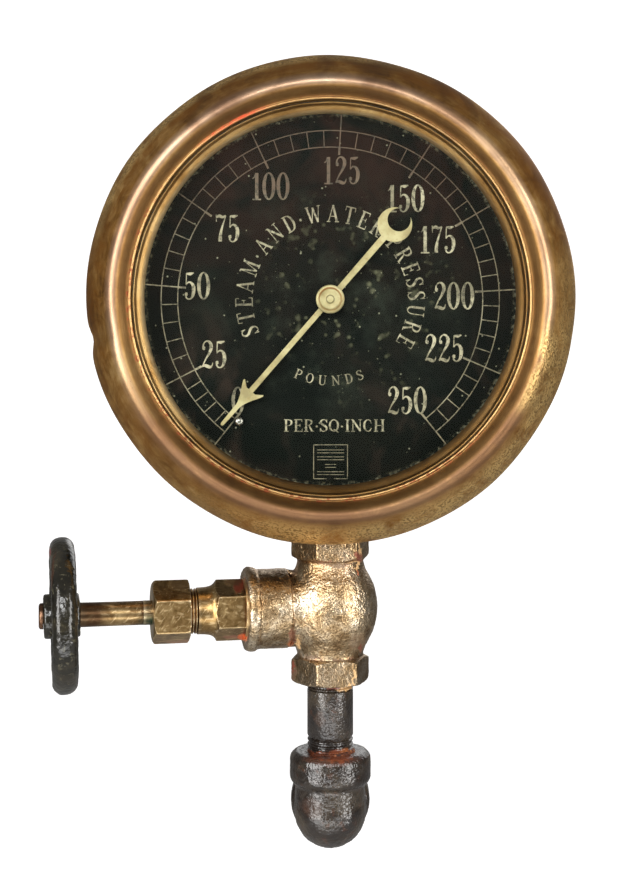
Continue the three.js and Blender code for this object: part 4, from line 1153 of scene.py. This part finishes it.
def dial_words():
    numbers = Pile()
    for text, (x, y) in NUMBERS.items():
        straight_text(numbers, text, x, y, 8.1, 0.9)
    mesh = numbers.mesh("dial_numbers", GAUGE)
    link("dial_numbers", mesh, DIAL_PRINT, "frame")
    words = Pile()
    arc_text(words, "STEAM.AND.WATER.PRESSURE", 22.4, -116, 124, 5.1, 0.92)
    arc_text(words, "POUNDS", 24.9, 207, 155, 2.9, 1.15, under=True)
    straight_text(words, "PER.SQ.INCH", 1.2, -36.4, 3.6, 1.22)
    for i in range(4):
        outline = 4.9
        x0, y0, x1, y1 = [(-outline, -outline, outline, -outline), (outline, -outline, outline, outline),
                          (outline, outline, -outline, outline), (-outline, outline, -outline, -outline)][i]
        pen_stroke(words, [(x0, y0, 0.22), (x1, y1, 0.22)], lambda u, v: (u + 0.1, v - 46.9), 1.0, 0.003 * i)
    for i, (y, half) in enumerate([(3.0, 3.9), (1.0, 3.9), (-1.2, 1.6), (-3.3, 3.9)]):
        for side in (-1, 1):
            pen_stroke(words, [(-half, y + side * 0.42, 0.16), (half, y + side * 0.42, 0.16)], lambda u,
                       v: (u + 0.1, v - 46.9), 1.0, 0.0)
    mesh = words.mesh("dial_lettering", GAUGE)
    link("dial_lettering", mesh, DIAL_PRINT, "frame")


def dial_fittings():
    for side, name in ((1, "top"), (-1, "bottom")):
        profile = rounded([(0, 12.4, 0), (0.9, 12.4), (0.9, 13.05), (1.25, 13.05), (1.25, 13.45),
                           (0, 13.7, 0)], 0.12, 3, closed=False)
        move = GAUGE @ Matrix.Translation((0, side * 52.4, 0))
        mesh = revolve("screw_" + name, profile, move, 32, closed=False)
        link("dial_screw_head_" + name, mesh, DIAL_BLACK, "frame", ["dial_screw_" + name])
    x, y = at(43.9, -143.2)
    profile = rounded([(0, 12.0, 0), (0.7, 12.0), (0.7, 13.1), (1.25, 13.1), (1.25, 14.3, 0.4), (0, 14.9, 0)],
                      0.15, 4, closed=False)
    mesh = revolve("stop_pin", profile, GAUGE @ Matrix.Translation((x, y, 0)), 32, closed=False)
    link("pin_stop", mesh, STEEL, "frame", ["stop_pin"])


# ---------------------------------------------------------------- pointer
POINTER_REST = 139.1


def bevelled_slab(pile, outline, low, high, ease):
    """A flat outline with a bevelled upper edge."""
    p = np.array(outline, float)
    back = np.roll(p, 1, 0)
    ahead = np.roll(p, -1, 0)
    e1, e2 = p - back, ahead - p
    e1 /= np.maximum(np.linalg.norm(e1, axis=1, keepdims=True), 1e-9)
    e2 /= np.maximum(np.linalg.norm(e2, axis=1, keepdims=True), 1e-9)
    normal = np.stack([-(e1 + e2)[:, 1], (e1 + e2)[:, 0]], 1)
    normal /= np.maximum(np.linalg.norm(normal, axis=1, keepdims=True), 1e-9)
    if np.sum(p[:, 0] * ahead[:, 1] - ahead[:, 0] * p[:, 1]) < 0:
        normal = -normal
    inner = p + normal * ease
    n = len(p)
    verts = [(x, y, low) for x, y in p] + [(x, y, high - ease * 0.7) for x, y in p] + [(x, y, high) for x,
            y in inner]
    faces = [tuple(range(n))[::-1], tuple(range(2 * n, 3 * n))]
    for i in range(n):
        j = (i + 1) % n
        faces += [(i, j, n + j, n + i), (n + i, n + j, 2 * n + j, 2 * n + i)]
    pile.add(verts, faces)


def crescent(pile, centre, radius, bite, bite_radius, low, high, steps=48, ease=0.12):
    """A moon: the first disc less the second, with its horns pointing away from the hub."""
    apart = centre[1] - bite[1]
    half = math.acos((radius ** 2 + apart ** 2 - bite_radius ** 2) / (2 * radius * apart))
    inner_half = math.pi - math.acos((bite_radius ** 2 + apart ** 2 - radius ** 2) / (2 * bite_radius * apart))
    verts, faces = [], []
    for i in range(steps + 1):
        t = 2 * i / steps - 1
        a, b = t * (math.pi - half), t * (math.pi - inner_half)
        out = np.array((centre[0] + radius * math.sin(a), centre[1] + radius * math.cos(a)))
        into = np.array((bite[0] + bite_radius * math.sin(b), bite[1] + bite_radius * math.cos(b)))
        across = into - out
        width = max(np.linalg.norm(across), 1e-6)
        step = across / width * min(ease, width * 0.3)
        verts += [(*out, low), (*out, high - ease * 0.7), (*(out + step), high)]
        verts += [(*(into - step), high), (*into, high - ease * 0.7), (*into, low)]
    for i in range(steps):
        for j in range(6):
            a, b = 6 * i + j, 6 * i + (j + 1) % 6
            faces.append((a, b, b + 6, a + 6))
    faces += [tuple(range(6))[::-1], tuple(range(6 * steps, 6 * steps + 6))]
    pile.add(verts, faces)


def pointer():
    right = [(0.8, 2.6), (0.78, 30)] + [(0.8, 34.9), (1.6, 34.9), (3.55, 33.4), (3.75, 33.9)]
    right += smooth_line([(3.75, 33.9), (2.9, 35.5), (2.0, 37.1), (1.2, 38.8), (0.72, 40.4), (0.66, 42)],
                         4)[1:]
    right += [(0.5, 47.4), (0.25, 47.9)]
    head = right + [(-x, y) for x, y in reversed(right)]
    pile = Pile()
    bevelled_slab(pile, head, 15.2, 15.8, 0.1)
    crescent(pile, (0, -28.4), 5.0, (0, -30.3), 3.35, 15.2, 15.8)
    stalk = [(0.84, -2.6), (0.98, -23.9), (-0.98, -23.9), (-0.84, -2.6)]
    bevelled_slab(pile, stalk, 15.2, 15.79, 0.1)
    boss = [at(3.3, 360 * i / 40) for i in range(40)]
    bevelled_slab(pile, boss, 15.22, 15.83, 0.1)
    turn = GAUGE @ Matrix.Rotation(math.radians(POINTER_REST), 4, "Z")
    link("pointer_arm", pile.mesh("pointer", turn, 30), POINTER_PAINT, "pointer", ["pointer"])
    hub = rounded([
        (0, 15.9, 0), (4.1, 15.9), (4.1, 18.35, 0.35), (3.35, 18.5, 0.2), (3.2, 18.3, 0.15),
        (2.9, 17.75, 0.3),
        (1.3, 17.6, 0.2), (1.05, 17.95, 0.2), (0, 18.0, 0),
    ], 0.2, 4, closed=False)
    mesh = revolve("pointer_hub", hub, GAUGE, 72, closed=False)
    link("pointer_boss", mesh, POINTER_PAINT, "pointer", ["pointer_hub"])


# ---------------------------------------------------------------- valve
BARREL_CENTRE, BARREL_ARC = -5.1, 19.2
HALF, HEX_IN = 22.2, 14.7
HEX_FIRST = 180 + BONNET_TURN
to_bonnet = np.array((BONNET_FRAME.inverted() @ VALVE))[:3, :3]


def body_field(p):
    rho = np.hypot(p[:, 0], p[:, 1])
    barrel = np.hypot(rho - BARREL_CENTRE, p[:, 2]) - BARREL_ARC
    barrel = smooth_max(barrel, np.abs(p[:, 2]) - 15.6, 0.3)
    waist = tube_distance(p, 9.7, -15.5, 15.5)
    d = smooth_min(barrel, waist, 2.0)
    for low, high in ((HEX_IN, HALF), (-HALF, -HEX_IN)):
        d = smooth_min(d, hexagon_distance(p, 11.95, low, high, HEX_FIRST, 0.3, 0.9), 1.3)
    q = p @ to_bonnet.T
    d = smooth_min(d, tube_distance(q, 10.2, -2, 22, 0.5), 1.8)
    neck = tube_distance(q, 11.7, 13.3, 25.9, 0.4)
    d = smooth_min(d, neck, 0.9)
    bead_rho = np.hypot(q[:, 0], q[:, 1])
    bead = np.hypot(np.maximum(bead_rho - 11.3, 0), np.maximum(np.abs(q[:, 2] - 24.2) - 0.55, 0)) - 1.1
    return smooth_min(d, bead, 0.5)


def valve_body():
    tilt = Matrix(np.linalg.inv(to_bonnet).tolist()).to_4x4()
    seeds = [seed_bar(11.4, -HALF, -HEX_IN), seed_bar(11.4, HEX_IN, HALF), seed_bar(12.5, -12, 12),
             seed_bar(10, -16, 16),
             seed_bar(10.1, 0, 14, tilt), seed_bar(11.6, 13.2, 26, tilt)]
    mesh = casting("valve_body", seeds, body_field, VALVE, 0.36, [(2.6, 0.08), (0.9, 0.07)])
    link("valve_casting", mesh, CAST_BRASS, "frame", ["valve_body"])


def hexed(corner, low, high, first):
    """Warp that trims rows between two heights to a hexagon with slightly worn corners."""
    third = math.pi / 3

    def warp(a, r, h):
        if low <= h <= high:
            local = (a - math.radians(first)) % third - third / 2
            flat = corner * math.cos(third / 2) / math.cos(local)
            flat = min(flat, corner * 0.992)
            r = min(r, flat)
        return r, h
    return warp


def bonnet():
    hexa = [(9.3, 26.55), (9.4, 27.0)] + [(9.4, 27.0 + 0.75 * i) for i in range(1, 10)] + [(9.1, 34.3)]
    flare = smooth_line([(9.1, 34.3), (8.2, 34.7), (7.5, 35.5), (7.1, 36.5), (6.9, 37.8), (6.8, 40.0)], 4)[1:]
    thread = []
    for i in range(6):
        thread += [(6.2, 40.25 + 0.9 * i), (6.6, 40.5 + 0.9 * i), (6.6, 40.7 + 0.9 * i),
                   (6.2, 40.95 + 0.9 * i)]
    thread = [q for q in thread if q[1] < 45]
    inner = [(6.1, 46), (3.72, 46), (3.72, 15), (9.1, 15), (9.1, 26.4)]
    profile = hexa + flare + thread + inner
    mesh = revolve("bonnet", profile, BONNET_FRAME, 240, warp=hexed(9.06, 26.5, 34.9, 34.1), sharp=24,
                   first=math.radians(34.1))
    link("bonnet_casting", mesh, NUT_BRASS, "frame", ["bonnet"])


def packing_nut():
    side = [(9.6, 43.0 + 0.6 * i) for i in range(16)]
    far = smooth_line([(9.6, 52.0), (9.1, 52.6), (8.5, 53.0), (7.9, 53.2)], 4)[1:]
    profile = [(6.65, 42.4), (8.6, 42.4), (9.2, 42.6)] + side + far + [(4.1, 53.2), (3.75, 52.9),
            (3.75, 49.4), (6.65, 49.4)]
    mesh = revolve("packing_nut", profile, BONNET_FRAME, 240, warp=hexed(9.46, 42.3, 53.3, 28.3), sharp=24,
                   first=math.radians(28.3))
    link("nut_packing", mesh, NUT_BRASS, "frame", ["packing_nut"])


def valve_stem():
    wear = [(3.55, 17), (3.55, 52), (3.5, 56), (3.48, 62), (3.5, 68), (3.55, 73.8)]
    profile = [(0, 10.3), (2.2, 10.3), (2.2, 12), (1.4, 12), (1.4, 15), (2.6, 15.3), (3.55, 16.4)]
    profile += smooth_line(wear, 5) + [(2.3, 73.9), (2.3, 84.2), (1.85, 84.3), (1.85, 85.3), (1.6, 85.5),
                                       (0, 85.55)]
    mesh = revolve("valve_stem", profile, BONNET_FRAME, 72, closed=False, sharp=35)
    link("stem_rod", mesh, STEM_BRASS, "wheel", ["valve_stem"])
    nut = rounded([(1.9, 84.3), (3.75, 84.3), (3.75, 85.2, 0.4), (3.2, 85.6, 0.3), (1.9, 85.6)], 0.2, 3)
    mesh = revolve("handwheel_nut", nut, BONNET_FRAME, 60)
    link("nut_wheel", mesh, COPPER, "wheel", ["handwheel_nut"])


WHEEL_AT, RIM_R = 78.6, 19.3


def wheel_field(p):
    z = p[:, 2] - WHEEL_AT
    rho = np.hypot(p[:, 0], p[:, 1])
    rim = np.hypot(rho - RIM_R, np.maximum(np.abs(z) - 0.4, 0)) - 3.15
    hub = tube_distance(p, 6.4, 73.95, 84.2, 0.8)
    d = smooth_min(rim, hub, 0.3)
    for i in range(4):
        a = math.radians(24.5 + 90 * i)
        along = p[:, 0] * math.cos(a) + p[:, 1] * math.sin(a)
        across = -p[:, 0] * math.sin(a) + p[:, 1] * math.cos(a)
        half = 1.75 + 0.5 * np.abs(along - 12.5) / 7
        arm = np.hypot(across / 1.15, z) - half * 0.95
        arm = smooth_max(arm, np.maximum(along - 19.5, 2 - along), 0.2)
        d = smooth_min(d, arm, 1.8)
    return d


def handwheel():
    ring = []
    for i in range(16):
        a = 2 * math.pi * i / 16
        ring.append((RIM_R + 2.6 * math.cos(a), WHEEL_AT + 3.4 * math.sin(a)))
    seeds = [revolve("seed", ring, UNIT, 64), seed_bar(6.2, 74, 84.2)]
    for i in range(4):
        turn = Matrix.Rotation(math.radians(24.5 + 90 * i), 4,
                               "Z") @ Matrix.Translation((0, 0, WHEEL_AT)) @ Matrix.Rotation(math.radians(90),
                                       4, "Y")
        seeds.append(seed_bar(1.9, 2, 19.5, turn, 24))
    at_rim = Matrix.Translation((0, 0, WHEEL_AT))
    lean = at_rim @ Matrix.Rotation(math.radians(1.3), 4, "X") @ at_rim.inverted()
    mesh = casting("handwheel", seeds, wheel_field, BONNET_FRAME @ lean, 0.4, [(5, 0.12), (1.1, 0.05)])
    link("wheel_hand", mesh, WHEEL_ENAMEL, "wheel", ["handwheel"])


# ---------------------------------------------------------------- pipework
REACH = 18.0


def elbow_field(p):
    up = tube_distance(p, 10.5, 0, REACH, 0.6)
    back = tube_distance(p, 10.5, 0, REACH, 0.6, axis=1)
    ball = np.linalg.norm(p, axis=1) - 10.6
    d = smooth_min(smooth_min(up, back, 1.6), ball, 0.4)
    band_up = tube_distance(p, 12.05, 8.7, REACH, 2.4)
    band_back = tube_distance(p, 12.05, 8.7, REACH, 2.0, axis=1)
    d = smooth_min(smooth_min(d, band_up, 0.9), band_back, 0.9)
    seam = np.exp(-((p[:, 0] - 0.5) / 0.35) ** 2) * 0.14
    return np.maximum(d - seam, 0.3 - (np.hypot(p[:, 0], p[:, 2]) - 6.3) - np.maximum(9 - p[:, 1], 0) * 3)


def elbow():
    lay = Matrix.Rotation(math.radians(-90), 4, "X")
    hollow = revolve("seed", [(6.6, 9), (10.4, 9), (10.4, REACH), (6.6, REACH)], lay, 48)
    ball = revolve("seed", [(10.4 * math.sin(math.pi * i / 24),
                             -10.4 * math.cos(math.pi * i / 24)) for i in range(25)],
                   UNIT, 48, closed=False)
    seeds = [ball, seed_bar(10.4, -2, REACH), seed_bar(10.4, -2, 9.2, lay), hollow, seed_bar(11.8, 9, REACH)]
    mesh = casting("elbow", seeds, elbow_field, PIPE, 0.42, [(3.2, 0.1), (0.9, 0.05)])
    link("elbow_casting", mesh, PIPE_IRON, "frame", ["elbow"])


def nipple():
    profile = [(4.6, 9), (6.3, 9)]
    z = 17.0
    while z < 21.6:
        profile += [(6.35, z), (6.8, z + 0.35), (6.8, z + 0.6), (6.35, z + 0.95)]
        z += 1.41
    profile += [(6.85, z + 0.5), (6.85, 36.5)]
    z = 36.7
    while z < 41:
        profile += [(6.35, z), (6.8, z + 0.35), (6.8, z + 0.6), (6.35, z + 0.95)]
        z += 1.41
    profile += [(6.3, 47.6), (4.6, 47.6)]
    mesh = revolve("nipple", profile, PIPE, 120, sharp=30)
    link("nipple_pipe", mesh, PIPE_IRON, "frame", ["nipple"])


def compound(name, z, radius, amount):
    """Rust and old thread compound squeezed out of a joint, thicker in places."""
    def warp(a, r, h):
        more = 0.5 + 0.5 * noise.noise(Vector((math.cos(a) * 1.3, math.sin(a) * 1.3, z)))
        more += 0.4 * noise.noise(Vector((math.cos(a) * 5, math.sin(a) * 5, z)))
        more = (more + 0.35) * (0.45 + 0.55 * math.cos(a + 0.6))
        return radius - 0.3 + (r - radius + 0.3) * max(0.3, more), z + (h - z) * max(0.3, more)
    ring = [(radius - 0.3, z - 0.5), (radius + amount * 0.9, z - 0.45), (radius + amount, z),
            (radius + amount * 0.5, z + amount * 0.7), (radius - 0.3, z + amount)]
    mesh = revolve(name, rounded(ring, 0.2, 3), PIPE, 144, warp=warp, sharp=80)
    link(name, mesh, RUST, "frame")


# ---------------------------------------------------------------- parts kept as packed
def dress(node, material):
    ob = frame["nodes"][node]
    if not ob.data.materials:
        ob.data.materials.append(material)
    for slot in ob.material_slots:
        slot.link = "OBJECT"
        slot.material = material


KEPT = {
    CAST_BRASS: ["gauge_socket"],
    NUT_BRASS: ["packing_gland", "seat_ring", "valve_disc", "disc_nut"],
    GRAPHITE: ["packing_ring"],
    RUBBER: ["glass_gasket"],
    STEEL: ["pinion_arbor", "hairspring", "auxiliary_spring", "movement_screw_low", "movement_screw_high",
            "case_screw_left", "case_screw_right"],
    MOVEMENT: ["sector_gear", "link_bar", "tube_tip", "bourdon_tube", "movement_plate_front",
               "movement_plate_back",
               "pillar_left", "pillar_right", "pillar_low", "hairspring_collet", "hairspring_stud"],
}


# ---------------------------------------------------------------- stage
def area_light(name, at_m, target, size, power, colour=(1, 1, 1), shape="RECTANGLE", size_y=None):
    data = bpy.data.lights.new(name, "AREA")
    data.shape = shape
    data.size = size
    data.size_y = size_y or size
    data.energy = power
    data.color = colour
    ob = bpy.data.objects.new(name, data)
    ob.location = at_m
    ob.rotation_euler = (Vector(target) - Vector(at_m)).to_track_quat("-Z", "Y").to_euler()
    ob.visible_camera = False
    bpy.context.scene.collection.objects.link(ob)
    return ob


def stage():
    width, depth_front, wall, floor_z, bend = 12.0, -9.0, 1.6, -0.3, 0.5
    line = [(depth_front, floor_z)]
    for i in range(13):
        a = math.radians(90 * i / 12)
        line.append((wall - bend + bend * math.sin(a), floor_z + bend - bend * math.cos(a)))
    line.append((wall, 2.4))
    verts = [(x, y, z) for y, z in line for x in (-width, width)]
    faces = [(2 * i, 2 * i + 1, 2 * i + 3, 2 * i + 2) for i in range(len(line) - 1)]
    mesh = bpy.data.meshes.new("floor")
    mesh.from_pydata(verts, [], faces)
    mesh.shade_smooth()
    mesh.materials.append(pale_floor())
    ob = bpy.data.objects.new("floor_sweep", mesh)
    bpy.context.scene.collection.objects.link(ob)

    world = bpy.data.worlds.new("studio")
    bpy.context.scene.world = world
    world.use_nodes = True
    tree = world.node_tree
    room = tree.nodes["Background"]
    room.inputs[0].default_value = (1.0, 0.985, 0.96, 1)
    room.inputs[1].default_value = 0.24
    white = tree.nodes.new("ShaderNodeBackground")
    white.inputs[0].default_value = (1, 1, 1, 1)
    path = tree.nodes.new("ShaderNodeLightPath")
    mix = tree.nodes.new("ShaderNodeMixShader")
    tree.links.new(path.outputs["Is Camera Ray"], mix.inputs[0])
    tree.links.new(room.outputs[0], mix.inputs[1])
    tree.links.new(white.outputs[0], mix.inputs[2])
    tree.links.new(mix.outputs[0], tree.nodes["World Output"].inputs[0])

    look = (0, -0.02, 0.12)
    area_light("key_left", (-0.72, -0.78, 0.20), look, 0.46, 14, (1.0, 0.985, 0.96), size_y=1.1)
    area_light("key_right", (0.78, -0.62, 0.16), look, 0.36, 10.5, (1.0, 0.985, 0.96), size_y=1.1)
    area_light("front_high", (-0.12, -1.15, 0.54), look, 0.55, 6.5, (1, 1, 1), size_y=0.24)
    area_light("behind", (0.35, 1.0, 0.5), look, 0.9, 2.5, (1, 1, 1), size_y=0.6)
    area_light("below", (-0.06, -0.42, -0.27), (-0.03, -0.02, 0.05), 0.7, 1.3, (1, 1, 1), size_y=0.16)


def camera():
    data = bpy.data.cameras.new("camera")
    data.sensor_width = 36
    data.lens = 61.64
    data.shift_x, data.shift_y = -0.0120, -0.0994
    ob = bpy.data.objects.new("camera", data)
    ob.location = (-0.00005, VALVE_AT.y - 0.45, 0.1371)
    ob.rotation_euler = (math.radians(90), 0, 0)
    bpy.context.scene.collection.objects.link(ob)
    bpy.context.scene.camera = ob


# ---------------------------------------------------------------- build
camera()
front_ring()
glass_and_bevel()
case()
dial_plate()
dial_scale()
dial_words()
dial_fittings()
pointer()
valve_body()
bonnet()
packing_nut()
valve_stem()
handwheel()
elbow()
nipple()
compound("joint_rust_low", 18.0, 6.85, 1.1)
compound("joint_compound_high", 38.6, 6.85, 0.7)
for material, nodes in KEPT.items():
    for node in nodes:
        dress(node, material)
stage()
bpy.context.scene.view_settings.view_transform = "Standard"
